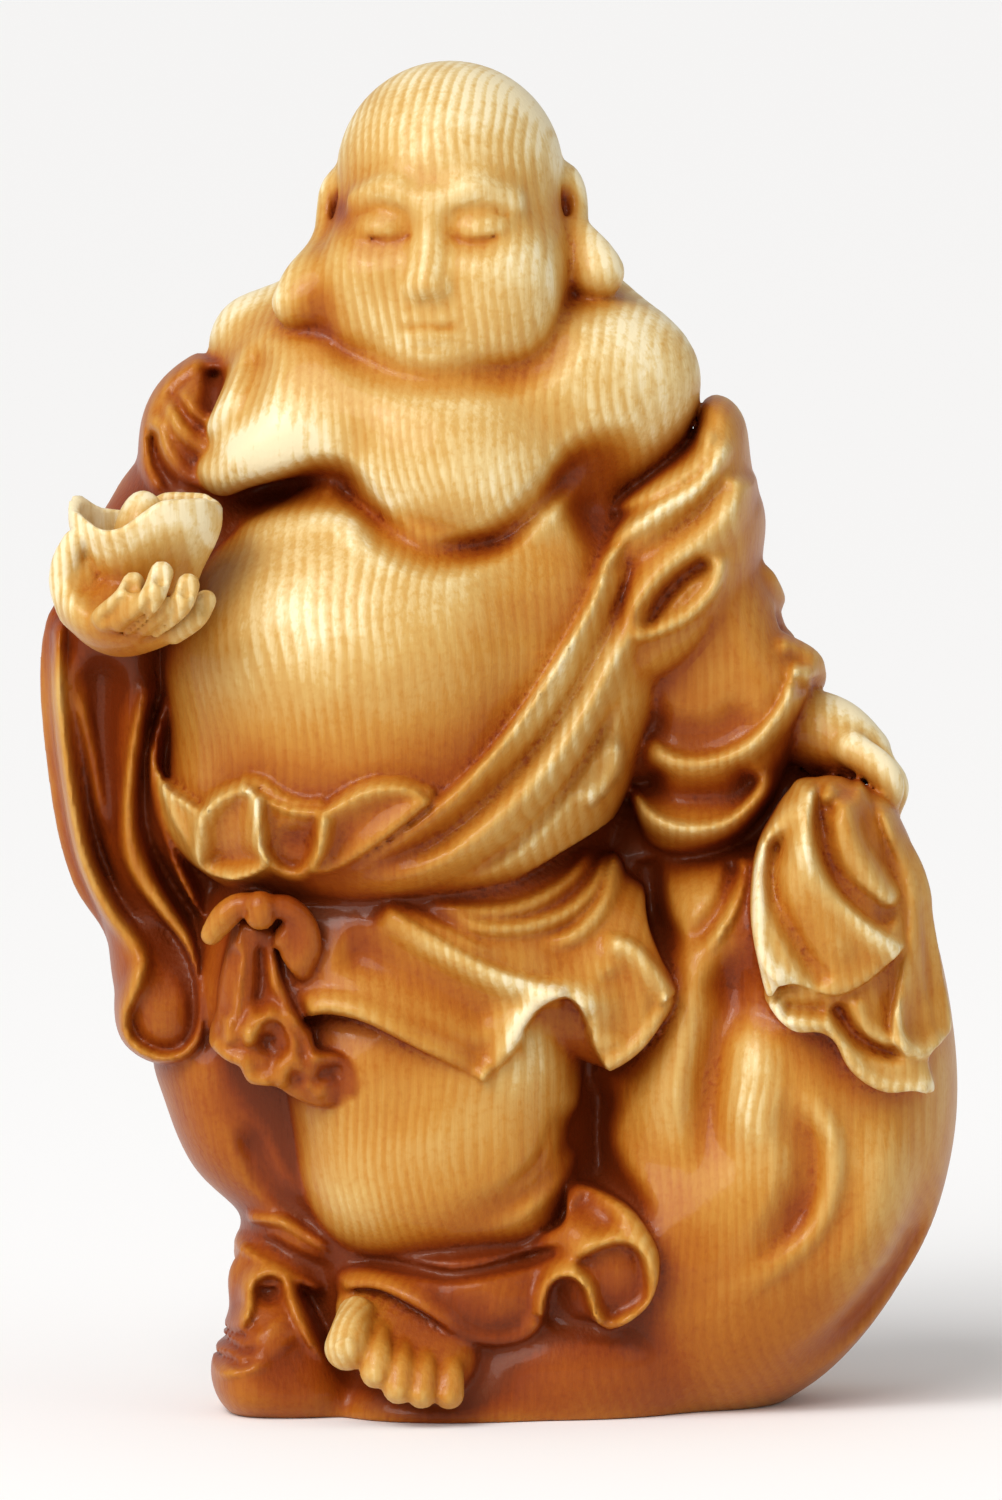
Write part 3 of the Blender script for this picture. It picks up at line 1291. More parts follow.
@dataclass(frozen=True)
class Knot(Carved):
    """The sash's bow and its hanging tail."""

    low: Point = (-66, -68, 45)
    high: Point = (-20, -10, 122)
    stain: float = STAIN
    steps: tuple[Step, ...] = (
        Add(limb(path([[252, 915, -32], [252, 1000, -33], [262, 1050, -34], [316, 1085, -33]]),
            [7, 9, 10, 8.5]), 0),
        Raise(-43, -20, 0, [
            Crest([[243, 924], [232, 960], [226, 1000], [224, 1050]], 3, 1.8, 1.8, 0.05, 0.05),
            Crest([[252, 930], [240, 976], [238, 1020], [247, 1050]], 2.4, 1.6, 1.8, 0.05, 0.05),
            Crest([[262, 932], [268, 976], [284, 1010], [304, 1040], [308, 1066]], 3, 1.8, 2.2, 0.05, 0.05),
            fold([[257, 946], [255, 986], [250, 1014]], 1.8, -1.8),
            Crest([[248, 1050], [254, 1026], [268, 1018], [283, 1026], [290, 1048], [283, 1066]], 3.4, 1.6,
                2.4, 0.15, 0.2),
            fold([[262, 1034], [258, 1058]], 3, -1.2, 0.3, 0.3),
            Crest([[204, 1044], [224, 1062], [238, 1066], [246, 1082], [272, 1088]], 3, 1.6, 1.8, 0.1, 0.1),
            Crest([[284, 1094], [279, 1078], [288, 1066], [300, 1074], [308, 1090], [324, 1102]], 3, 1.8,
                1.8, 0.15, 0.15),
            Crest([[302, 1072], [318, 1061], [338, 1060], [352, 1074], [354, 1094], [338, 1104]], 1.8, 4,
                2.4, 0.15, 0.15),
        ]),
        Trim([[236, 904], [268, 904], [276, 940], [282, 976], [292, 1004], [306, 1030], [312, 1052],
            [330, 1056], [348, 1064], [357, 1082], [350, 1100], [320, 1112], [290, 1102], [272, 1090],
            [246, 1087], [236, 1070], [222, 1064], [202, 1046], [212, 1020], [216, 986], [226, 944]], -43,
            1),
        Add(limb(path([[250, 906, -42.5], [234, 910, -42], [220, 922, -41.5], [208, 938, -40.5]]),
            [2, 2.6, 2.8, 2.2]), 1),
        Add(limb(path([[264, 908, -43], [284, 912, -43], [300, 928, -42], [305, 950, -41],
            [298, 972, -40]]), [2, 2.6, 2.6, 2.6, 2.4]), 1),
        Add(ellipsoid(at(288, 950, -41.5), [4, 2.8, 5.4]), 1),
        Cut(limb(path([[240, 916, -46], [222, 932, -45]]), [0.5, 0.8]), 0.8, STAIN),
        Cut(limb(path([[272, 922, -46.5], [282, 934, -45.5], [281, 966, -44.5]]), [0.6, 1, 0.6]), 0.8,
            STAIN),
        Cut(limb(path([[288, 920, -46.5], [295, 938, -45.5], [294, 960, -45]]), [0.5, 0.7, 0.5]), 0.8,
            STAIN),
        Add(ellipsoid(at(257, 914, -44), [3.4, 3.2, 4]), 0.6),
        Cut(limb(path([[242, 917, -45.4], [226, 930, -44.8], [214, 943, -43.6]]), [0.8, 1.2, 0.9]), 0.7,
            STAIN),
        Cut(limb(path([[274, 919, -45.9], [287, 934, -45.6], [289, 960, -45.2], [284, 974, -44]]),
            [0.9, 1.7, 2.0, 1.2]), 0.8, STAIN),
        Cut(limb(path([[249, 902, -47.3], [251, 914, -47.7], [250, 926, -47]]), [0.5, 0.7, 0.5]), 0.5,
            STAIN),
        Cut(limb(path([[259, 902, -47.4], [263, 914, -47.8], [262, 926, -47]]), [0.5, 0.7, 0.5]), 0.5,
            STAIN),
        Raise(-43, -20, 0, [
            fold([[248, 932], [244, 966], [240, 1000], [238, 1034]], 1.8, -1.5, 0.1, 0.1),
            fold([[262, 932], [263, 966], [259, 1000], [255, 1022]], 1.8, -1.5, 0.1, 0.1),
            fold([[234, 950], [229, 986], [222, 1024]], 1.8, -1.5, 0.1, 0.1),
            fold([[273, 946], [282, 980], [296, 1010], [308, 1034]], 1.8, -1.4, 0.1, 0.1),
            fold([[304, 1074], [296, 1082], [281, 1084]], 2.2, -1.0, 0.1, 0.3),
            fold([[308, 1078], [310, 1090], [312, 1100]], 2.2, -1.0, 0.1, 0.3),
            fold([[312, 1076], [326, 1074], [340, 1080]], 2.6, -1.0, 0.1, 0.3),
            fold([[262, 1030], [268, 1050], [280, 1062]], 3.4, -1.8, 0.3, 0.3),
        ]),
    )


@dataclass(frozen=True)
class BackFoot(Carved):
    """The right foot under the cloth's hem."""

    low: Point = (-75, -52, -6)
    high: Point = (0, 30, 50)
    stain: float = SHADE
    blend: float = 1.5
    steps: tuple[Step, ...] = (
        Add(slab([[244, 1276], [230, 1300], [214, 1340], [204, 1366], [208, 1392], [232, 1420], [320, 1430],
            [360, 1400], [340, 1330], [310, 1280]], -12, 21, 9, [0.2, 0.3]), 0),
        Add(ellipsoid(at(268, 1284, -14), [9, 9, 8]), 4),
        Raise(-24, 0, 0, [
            Crest([[228, 1340], [244, 1312], [246, 1288], [262, 1276], [280, 1282], [287, 1304],
                [304, 1338], [328, 1370]], 3, 1.6, 2.6, 0.15, 0.2),
            fold([[264, 1290], [262, 1308]], 3.4, -1.6),
            fold([[262, 1322], [284, 1352]], 6, 1.4, 0.2, 0.3),
            fold([[300, 1286], [318, 1330], [336, 1360]], 3, -2.6, 0.1, 0.2),
            fold([[208, 1352], [222, 1346], [240, 1352], [256, 1346]], 1.2, -1.4),
            fold([[206, 1364], [224, 1360], [236, 1366], [252, 1358]], 1.1, -1.3),
            fold([[214, 1340], [232, 1336], [246, 1340]], 1, -1),
            fold([[208, 1376], [234, 1370], [270, 1360]], 1.6, 1.2, 0.2, 0.3),
        ]),
    )


@dataclass(frozen=True)
class FrontFoot(Carved):
    """The bare left foot and its five toes."""

    low: Point = (-70, -68, -6)
    high: Point = (10, 20, 50)
    steps: tuple[Step, ...] = (
        Add(slab([[338, 1290], [330, 1325], [342, 1352], [372, 1378], [410, 1392], [446, 1394], [468, 1376],
            [480, 1340], [460, 1300], [400, 1270]], -30.5, 12, 9, [0, 0.75]), 0),
        Add(limb(path([[352, 1318, -37], [346, 1334, -43.5], [343, 1349, -45.5]]), [3.9, 4, 4.6]), 0.6),
        Add(limb(path([[374, 1336, -39], [373, 1356, -46], [372, 1373, -47.5]]), [2.9, 2.9, 3.3]), 0.6),
        Add(limb(path([[397, 1348, -39.5], [396, 1370, -46.5], [394, 1389, -48]]), [2.8, 2.8, 3.2]), 0.6),
        Add(limb(path([[420, 1354, -39.5], [419, 1376, -46], [417, 1394, -47.5]]), [2.8, 2.8, 3.1]), 0.6),
        Add(limb(path([[444, 1358, -38.5], [445, 1378, -44.5], [444, 1395, -46]]), [2.8, 2.8, 3.1]), 0.6),
        # nails
        Add(ellipsoid(at(341, 1349, -49.6), [2.6, 0.9, 2.4]), 0.2),
        Add(ellipsoid(at(371, 1376, -50.4), [1.7, 0.8, 1.8]), 0.2),
        Add(ellipsoid(at(393, 1392, -50.8), [1.7, 0.8, 1.7]), 0.2),
        Add(ellipsoid(at(416, 1397, -50.2), [1.6, 0.8, 1.6]), 0.2),
        Add(ellipsoid(at(443, 1398, -48.7), [1.6, 0.8, 1.6]), 0.2),
    )


@dataclass(frozen=True)
class Ground(Carved):
    """The low ground that all of it stands on."""

    low: Point = (-75, -60, -8)
    high: Point = (100, 55, 40)
    stain: float = SHADE
    blend: float = 3.0
    steps: tuple[Step, ...] = (
        Add(ellipsoid([-2, 2, 2], [46, 36, 14]), 0),
        Add(ellipsoid([-38, -4, 1], [18, 24, 9]), 5),
        Add(ellipsoid([10, -14, 10], [32, 24, 16]), 8),
        Add(ellipsoid([-12, -26, 1], [20, 14, 8]), 6),
    )


@dataclass(frozen=True)
class Rise:
    """A smooth rise to a height, which begins at a start and takes a width."""

    height: float
    start: float
    width: float

    def at(self, along: Array) -> Array:
        """Gives the height reached at each place along."""
        return self.height * smooth((along - self.start) / self.width)


@dataclass(frozen=True)
class Hull(Form):
    """The ingot's hull, an oval that flares upwards, less an oval hollow inside.

    It is cut off at a rim that rises to both ends and dips again at the right tip, and
    that is higher at the back on the left.
    """

    middle: tuple[float, float]
    base: float
    radii: tuple[float, float]
    height: float
    floor: float
    wall: float
    foot: float
    flare_high: float = 15.0
    left_end: Rise = Rise(3.6, 8.0, 7.0)
    right_end: Rise = Rise(6.2, -7.0, 12.0)
    tip: Rise = Rise(-1.5, 11.0, 4.0)
    back: Rise = Rise(3.0, -3.0, 8.0)
    back_left: Rise = Rise(1.0, 0.0, 8.0)

    def distance(self, x: Array, y: Array, z: Array) -> Array:
        """Gives the signed distance on an open grid.

        It is the greatest of the distances to the flared oval, the rim and the base,
        and of the hollow's distance turned inside out.

        Args:
            x: The grid's x.
            y: The grid's y.
            z: The grid's z.

        Returns:
            The distances.
        """
        u, v = x - self.middle[0], y - self.middle[1]
        ends = self.left_end.at(-u) + self.right_end.at(u) + self.tip.at(u)
        far_side = self.back.at(v) * self.back_left.at(-u)
        flare = self.foot + (1 - self.foot) * smooth((z - self.base) / self.flare_high)
        outer = (np.hypot(u / self.radii[0], v / self.radii[1]) / flare - 1) * self.radii[1]
        rim = self.base + self.height + ends + far_side
        hull = np.maximum(np.maximum(outer, z - rim), self.base - z)
        hollow = np.maximum(outer + self.wall, self.base + self.floor - z)
        return np.maximum(hull, -hollow)


@dataclass(frozen=True)
class Ingot(Carved):
    """The boat-shaped ingot, hollow round a low dome."""

    low: Point = (-95, -85, 150)
    high: Point = (-50, -15, 205)
    blend: float = 0.8
    middle: tuple[float, float] = (-71.3, -44.0)
    foot_place: tuple[float, float] = (140, 600)
    radii: tuple[float, float] = (15.3, 11.5)
    height: float = 13.4
    floor: float = 8.0
    wall: float = 1.8
    foot: float = 0.66
    dome: tuple[float, float, float] = (6.5, 6, 13.5)
    dome_off: tuple[float, float, float] = (-0.5, 1.5, 7)
    dome_blend: float = 1.2

    def model(self, clay: Clay) -> Clay:
        """Models the hull and the dome.

        Args:
            clay: The whole grid.

        Returns:
            The block of it with the ingot.
        """
        (cx, cy), (rx, ry) = self.middle, self.radii
        base = at(*self.foot_place, cy)[2]
        lo = np.array([cx - rx, cy - ry, base])
        hi = np.array([cx + rx, cy + ry, base + 2 * self.height])
        size = (self.height, self.floor, self.wall, self.foot)
        block = clay.block(self.low, self.high, self.stain)
        Add(Hull(lo, hi, self.middle, base, self.radii, *size), 0).apply(block)
        right, back, up = self.dome_off
        Add(ellipsoid((cx + right, cy + back, base + up), self.dome), self.dome_blend, EAR).apply(block)
        return block


@dataclass(frozen=True)
class Hand(Carved):
    """The right hand that holds up the ingot."""

    low: Point = (-100, -85, 135)
    high: Point = (-40, 0, 200)
    blend: float = 0.8
    steps: tuple[Step, ...] = (
        Add(limb(path([[122, 606, -20], [116, 616, -34], [118, 618, -46]]), [8.5, 9, 8]), 0),
        Add(slab([[54, 590], [58, 622], [82, 648], [120, 661], [160, 654], [188, 638], [196, 620],
            [150, 604], [90, 600], [68, 576]], -47, 13, 8, [0, 0]), 3),
        Add(limb(path([[104, 624, -58], [124, 606, -62], [133, 590, -60]]), [2.6, 2.4, 2.3]), 1),
        Add(limb(path([[124, 628, -59], [150, 606, -65], [161, 580, -63]]), [2.8, 2.5, 2.4]), 1),
        Add(limb(path([[150, 632, -58], [178, 612, -63], [187, 592, -62]]), [2.8, 2.5, 2.4]), 1),
        Add(limb(path([[172, 638, -53], [194, 624, -58], [204, 607, -57]]), [2.5, 2.3, 2.2]), 1),
        Raise(-55, -46, 0, [
            fold([[92, 634], [116, 612], [124, 598]], 1.4, -1.2, 0.4, 0.1),
            fold([[112, 644], [142, 618], [150, 598]], 1.4, -1.4, 0.4, 0.1),
            fold([[138, 650], [168, 622], [175, 602]], 1.4, -1.4, 0.4, 0.1),
        ]),
        Add(limb(path([[78, 612, -46], [66, 590, -47], [66, 568, -48], [73, 548, -49]]),
            [4.6, 3.6, 3, 2.3]), 1.5),
        Add(ellipsoid(at(84, 585, -44), [4, 6, 6]), 1.5),
        Cut(ellipsoid(at(131, 592, -62.8), [1.5, 1.1, 1.9]), 0.4),
        Cut(ellipsoid(at(160, 585, -65.9), [1.6, 1.1, 2.0]), 0.4),
        Cut(ellipsoid(at(186, 597, -64.7), [1.5, 1.1, 1.9]), 0.4),
        Cut(ellipsoid(at(203, 612, -59.8), [1.4, 1.1, 1.8]), 0.4),
    )


def corner(still: int, one: int, two: int) -> Window:
    """Gives the places of one corner of each square of the grid across an axis.

    Args:
        still: The axis that the squares are across.
        one: 0 or 1, for the corner's end along the first of the other axes.
        two: The same for the second.

    Returns:
        A slice for each axis.
    """
    ends = (slice(None, -1), slice(1, None))
    picks = [ends[one], ends[two]]
    picks.insert(still, slice(None))
    return tuple(picks)


def filled_diagonals(field: Array, rounds: int = 6) -> Array:
    """Fills a corner wherever four neighbouring points meet only across a diagonal.

    Without such places every edge of the surface has just two faces.

    Args:
        field: The signed distances, negative inside.
        rounds: How often to look again, as a filled corner can make a new place.

    Returns:
        The field with a few points just outside moved just inside.
    """
    for _ in range(rounds):
        changed = 0
        for still in range(3):
            places = [corner(still, one, two) for one, two in np.ndindex(2, 2)]
            a, b, c, d = (field[place] for place in places)
            inside = [part < 0 for part in (a, b, c, d)]
            one_way = inside[0] & inside[3] & ~inside[1] & ~inside[2]
            other_way = inside[1] & inside[2] & ~inside[0] & ~inside[3]
            changed += int(one_way.sum() + other_way.sum())
            b[one_way] = JUST_INSIDE
            a[other_way] = JUST_INSIDE
        if not changed:
            break
    return field


def crossings(value: dict[tuple[int, ...], Array]) -> Array:
    """Finds the mean of the places where the surface crosses the edges of grid boxes.

    On an edge whose ends have the distances a and b it is the share a / (a - b).

    Args:
        value: The distances of each box at each of its eight corners.

    Returns:
        One place for each box, from its lowest corner, in steps of the grid.
    """
    boxes = len(value[0, 0, 0])
    total = np.zeros((boxes, 3), np.float32)
    found = np.zeros(boxes, np.float32)
    for start in value:
        for axis in range(3):
            if start[axis]:
                continue
            end = tuple(1 if n == axis else s for n, s in enumerate(start))
            a, b = value[start], value[end]
            meets = (a < 0) != (b < 0)
            place = np.tile(np.array(start, np.float32), (boxes, 1))
            place[:, axis] = np.where(meets, a / np.where(meets, a - b, 1.0), 0.0)
            total += place * meets[:, None]
            found += meets
    return total / found[:, None]


def surface_of(field: Array) -> tuple[Array, Array]:
    """Takes the surface out of a field, as a net of squares.

    Each grid box that the surface crosses gets one point, the mean of the crossings on
    the box's edges, and each crossed grid edge gets a square of the four boxes round it.

    Args:
        field: The signed distances, negative inside.

    Returns:
        The points in steps of the grid, and four points' numbers for each square.
    """
    inside = field < 0
    corners_of_box = list(np.ndindex(2, 2, 2))
    count = np.zeros([n - 1 for n in field.shape], np.uint8)
    for i, j, k in corners_of_box:
        count += inside[i : i + count.shape[0], j : j + count.shape[1], k : k + count.shape[2]]
    crossed = np.argwhere((count > 0) & (count < len(corners_of_box)))
    value = {place: field[tuple((crossed + place).T)] for place in corners_of_box}
    points = crossed + crossings(value)
    number = np.full(count.shape, -1, np.int32)
    number[tuple(crossed.T)] = np.arange(len(crossed))
    faces = []
    for axis in range(3):
        ahead = np.eye(3, dtype=int)[axis]
        one, two = np.roll(np.eye(3, dtype=int), -axis - 1, axis=0)[:2]
        first = inside[tuple(slice(0, n - s) for n, s in zip(field.shape, ahead))]
        last = inside[tuple(slice(s, n) for n, s in zip(field.shape, ahead))]
        edge = np.argwhere(first != last)
        out = first[tuple(edge.T)]
        ring = [edge - one - two, edge - two, edge, edge - one]
        square = np.column_stack([number[tuple(cell.T)] for cell in ring])
        faces.append(np.where(out[:, None], square, square[:, ::-1]))
    return points, np.vstack(faces)


def largest_shell(points: Array, faces: Array) -> tuple[Array, Array]:
    """Keeps the shell with the most faces, and so drops crumbs and closed hollows.

    Each point takes the lowest number among its neighbours until nothing changes.

    Args:
        points: The points.
        faces: The faces, by their points' numbers.

    Returns:
        The points and faces of that shell.
    """
    label = np.arange(len(points))
    while True:
        low = label[faces].min(axis=1)
        new = label.copy()
        for column in faces.T:
            np.minimum.at(new, column, low)
        new = new[new]
        if (new == label).all():
            break
        label = new
    names, sizes = np.unique(label[faces[:, 0]], return_counts=True)
    faces = faces[label[faces[:, 0]] == names[sizes.argmax()]]
    used, renamed = np.unique(faces, return_inverse=True)
    return points[used], renamed.reshape(faces.shape)


def running_mean(values: Array, reach: int, passes: int = 2) -> Array:
    """Evens out a grid by the mean of the points within reach along each axis.

    Args:
        values: The grid.
        reach: How many steps to each side count.
        passes: How often it is done along all three axes.

    Returns:
        The evened grid.
    """
    span = 2 * reach + 1
    for _ in range(passes):
        for axis in range(3):
            width = [(reach + 1, reach) if n == axis else (0, 0) for n in range(3)]
            run = np.cumsum(np.pad(values, width, mode="edge"), axis=axis, dtype=np.float32)
            run = np.moveaxis(run, axis, 0)
            values = np.moveaxis((run[span:] - run[:-span]) / span, 0, axis)
    return values


def sampled(values: Array, places: Array) -> Array:
    """Reads a grid at places between its points, evenly mixed from the eight nearest.

    Args:
        values: The grid.
        places: The places, in steps of the grid.

    Returns:
        One value for each place.
    """
    low = np.clip(np.floor(places).astype(int), 0, np.array(values.shape) - 2)
    share = np.clip(places - low, 0.0, 1.0)
    total = np.zeros(len(places))
    for near in np.ndindex(2, 2, 2):
        weight = np.prod(np.where(near, share, 1 - share), axis=1)
        total += weight * values[tuple((low + near).T)]
    return total


@dataclass(frozen=True)
class Figure:
    """The whole figure, carved from one block and standing for the part's one node.

    Each brushed stroke is its place in the front drawing, its reach in parts and the
    stain it adds.
    """

    cell: float = 0.8
    triangles: int = 196_000
    fine_reach: float = 2.4
    broad_reach: float = 8.0
    foot_stain: float = 0.28
    foot_high: float = 120.0
    ground_depth: float = 0.05
    brush_depth: float = -25.0
    brush_fade: float = 15.0
    parts: tuple[type[Carved], ...] = (
        Torso, RobeBack, Head, RightArm, HangingSleeve, LeftArm, ShoulderCloth, Sack, PetalsUnder,
        PetalsOver, LeftHand, Skirt, BackLeg, FrontLeg, Cuff, Knot, BackFoot, FrontFoot, Ground,
        Ingot, Hand,
    )
    brushed: tuple[tuple[float, float, float, float], ...] = (
        (520, 620, 16, 0.36), (350, 785, 15, 0.42), (240, 760, 12, 0.34), (455, 745, 14, 0.38),
        (400, 870, 16, 0.52), (300, 880, 12, 0.34), (392, 952, 16, -0.35), (400, 1065, 12, 0.3),
        (545, 1160, 14, 0.5), (440, 1245, 16, 0.45), (400, 1376, 12, 0.52), (262, 1370, 14, 0.52),
        (115, 630, 13, 0.85), (222, 360, 12, 0.25), (252, 935, 12, 0.22), (830, 815, 13, 0.45),
        (790, 915, 8, 0.3), (690, 790, 12, 0.2), (60, 690, 7, -0.3),
        (520, 1015, 12, -0.4), (735, 1060, 14, -0.15), (860, 1190, 14, -0.2), (700, 660, 12, -0.08),
        (590, 650, 9, -0.3), (550, 715, 9, -0.45), (300, 360, 12, 0.15), (900, 1060, 10, -0.2),
        (455, 1394, 8, 0.5), (400, 1150, 14, 0.1), (230, 1130, 12, 0.2), (600, 1300, 10, 0.2),
        (170, 530, 10, 0.65), (430, 330, 16, -0.2),
        (340, 240, 9, 0.2), (440, 110, 12, -0.2), (680, 610, 10, 0.14), (720, 1150, 12, -0.1),
        (470, 1330, 12, 0.25), (850, 770, 10, 0.25), (300, 590, 12, -0.1), (430, 430, 14, -0.1),
        (605, 1000, 10, -0.25), (160, 430, 8, -0.25), (530, 250, 10, 0.1), (440, 330, 14, 0.08),
        (232, 490, 5, 0.2), (268, 474, 5, 0.15), (306, 466, 5, 0.05), (372, 500, 7, -0.3),
        (440, 545, 8, 0.05), (498, 520, 6, 0.1), (400, 500, 12, 0.1), (340, 250, 9, 0.12),
        (575, 560, 8, 0.3), (590, 620, 8, 0.25), (300, 332, 6, 0.3), (330, 356, 5, 0.25),
        (566, 214, 3, 0.7), (331, 220, 3, 0.7), (314, 312, 5, 0.35), (600, 292, 5, 0.2),
        (725, 408, 6, 0.3), (304, 300, 5, 0.2),
    )

    def clay(self) -> Clay:
        """Models every part and joins them in order.

        Returns:
            The whole grid, cut off flat at the underside.
        """
        clay = Clay.grid(self.cell)
        for part in self.parts:
            carved = part()
            clay.join(carved.model(clay), carved.blend)
            LOG.info("modelled %s", part.__name__)
        clay.f = np.maximum(clay.f, -clay.z[None, None, :])
        return clay

    def thinned(self, points: Array, faces: Array) -> bpy.types.Mesh:
        """Makes a mesh and collapses its least needed edges.

        Args:
            points: The points, in parts.
            faces: The squares.

        Returns:
            A mesh of about the wanted number of triangles, in parts.
        """
        full = bpy.data.meshes.new("carving_full")
        full.from_pydata(points.tolist(), [], faces.tolist())
        holder = bpy.data.objects.new("carving_full", full)
        bpy.context.scene.collection.objects.link(holder)
        thin = holder.modifiers.new("thin", "DECIMATE")
        thin.ratio = min(1.0, self.triangles / (2 * len(faces)))
        made = holder.evaluated_get(bpy.context.evaluated_depsgraph_get())
        mesh = bpy.data.meshes.new_from_object(made)
        bpy.data.objects.remove(holder)
        bpy.data.meshes.remove(full)
        return mesh

    def strokes(self, points: Array) -> Array:
        """Works out the soft strokes of stain brushed on the front.

        A stroke is its amount times e to the minus square of the distance seen from the
        front over its reach, and it fades out round the sides.

        Args:
            points: The mesh's points, in parts.

        Returns:
            The stain gained or lost at each point.
        """
        total = np.zeros(len(points))
        for across, down, reach, amount in self.brushed:
            x, _, z = at(across, down, self.brush_depth)
            away = np.hypot(points[:, 0] - x, points[:, 2] - z)
            total += amount * np.exp(-((away / reach) ** 2))
        return total * smooth(-points[:, 1] / self.brush_fade)

    def dress(self, mesh: bpy.types.Mesh, clay: Clay, points: Array) -> None:
        """Writes the stain and the creases onto the mesh's points.

        The stain is the grid's, and more towards the feet. A crease is the share of
        wood round a point: a half where it is flat, and more in a hollow.

        Args:
            mesh: The mesh.
            clay: The grid it was taken from.
            points: The mesh's points, in parts.
        """
        solid = (clay.f < 0).astype(np.float32)
        places = (points - np.array(GRID_LOW)) / self.cell
        fine = sampled(running_mean(solid, round(self.fine_reach / self.cell)), places)
        broad = sampled(running_mean(solid, round(self.broad_reach / self.cell)), places)
        low = smooth(1.0 - points[:, 2] / self.foot_high)
        tone = sampled(clay.tone, places) + self.foot_stain * low
        tone += self.strokes(points)
        for name, values in (("stain", tone), ("hollow", broad), ("crease", fine)):
            attribute = mesh.attributes.new(name, "FLOAT", "POINT")
            attribute.data.foreach_set("value", values.astype(np.float32))

    def build(self) -> bpy.types.Object:
        """Builds the figure's surface where the part stands.

        Returns:
            The surface, in metres, standing for the part's one node.
        """
        clay = self.clay()
        points, faces = largest_shell(*surface_of(filled_diagonals(clay.f)))
        LOG.info("surface of %d squares", len(faces))
        mesh = self.thinned(points * self.cell + np.array(GRID_LOW), faces)
        points = np.empty(3 * len(mesh.vertices))
        mesh.vertices.foreach_get("co", points)
        points = points.reshape(-1, 3)
        points[np.abs(points[:, 2]) < self.ground_depth, 2] = 0.0
        self.dress(mesh, clay, points)
        lo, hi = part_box("figure")
        middle = (points.min(axis=0) + points.max(axis=0)) / 2
        points -= [middle[0], middle[1], 0.0]
        points *= hi.z / PARTS_HIGH
        points += [(lo.x + hi.x) / 2, (lo.y + hi.y) / 2, 0.0]
        mesh.vertices.foreach_set("co", points.ravel())
        mesh.shade_smooth()
        mesh.update()
        figure = bpy.data.objects.new("carved_figure", mesh)
        bpy.context.scene.collection.objects.link(figure)
        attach(figure, "root")
        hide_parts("figure")
        return figure


def colour(code: int) -> tuple[float, float, float, float]:
    """Turns a colour written as on a screen into the light it stands for.

    A part c of the colour gives c / 12.92 where it is dark, and otherwise
    ((c + 0.055) / 1.055) to the power 2.4.

    Args:
        code: Red, green and blue, eight bits each.

    Returns:
        Red, green, blue and a full alpha.
    """
    parts = [((code >> shift) & 255) / 255 for shift in (16, 8, 0)]
    light = [c / 12.92 if c <= 0.04045 else ((c + 0.055) / 1.055) ** 2.4 for c in parts]
    return light[0], light[1], light[2], 1.0


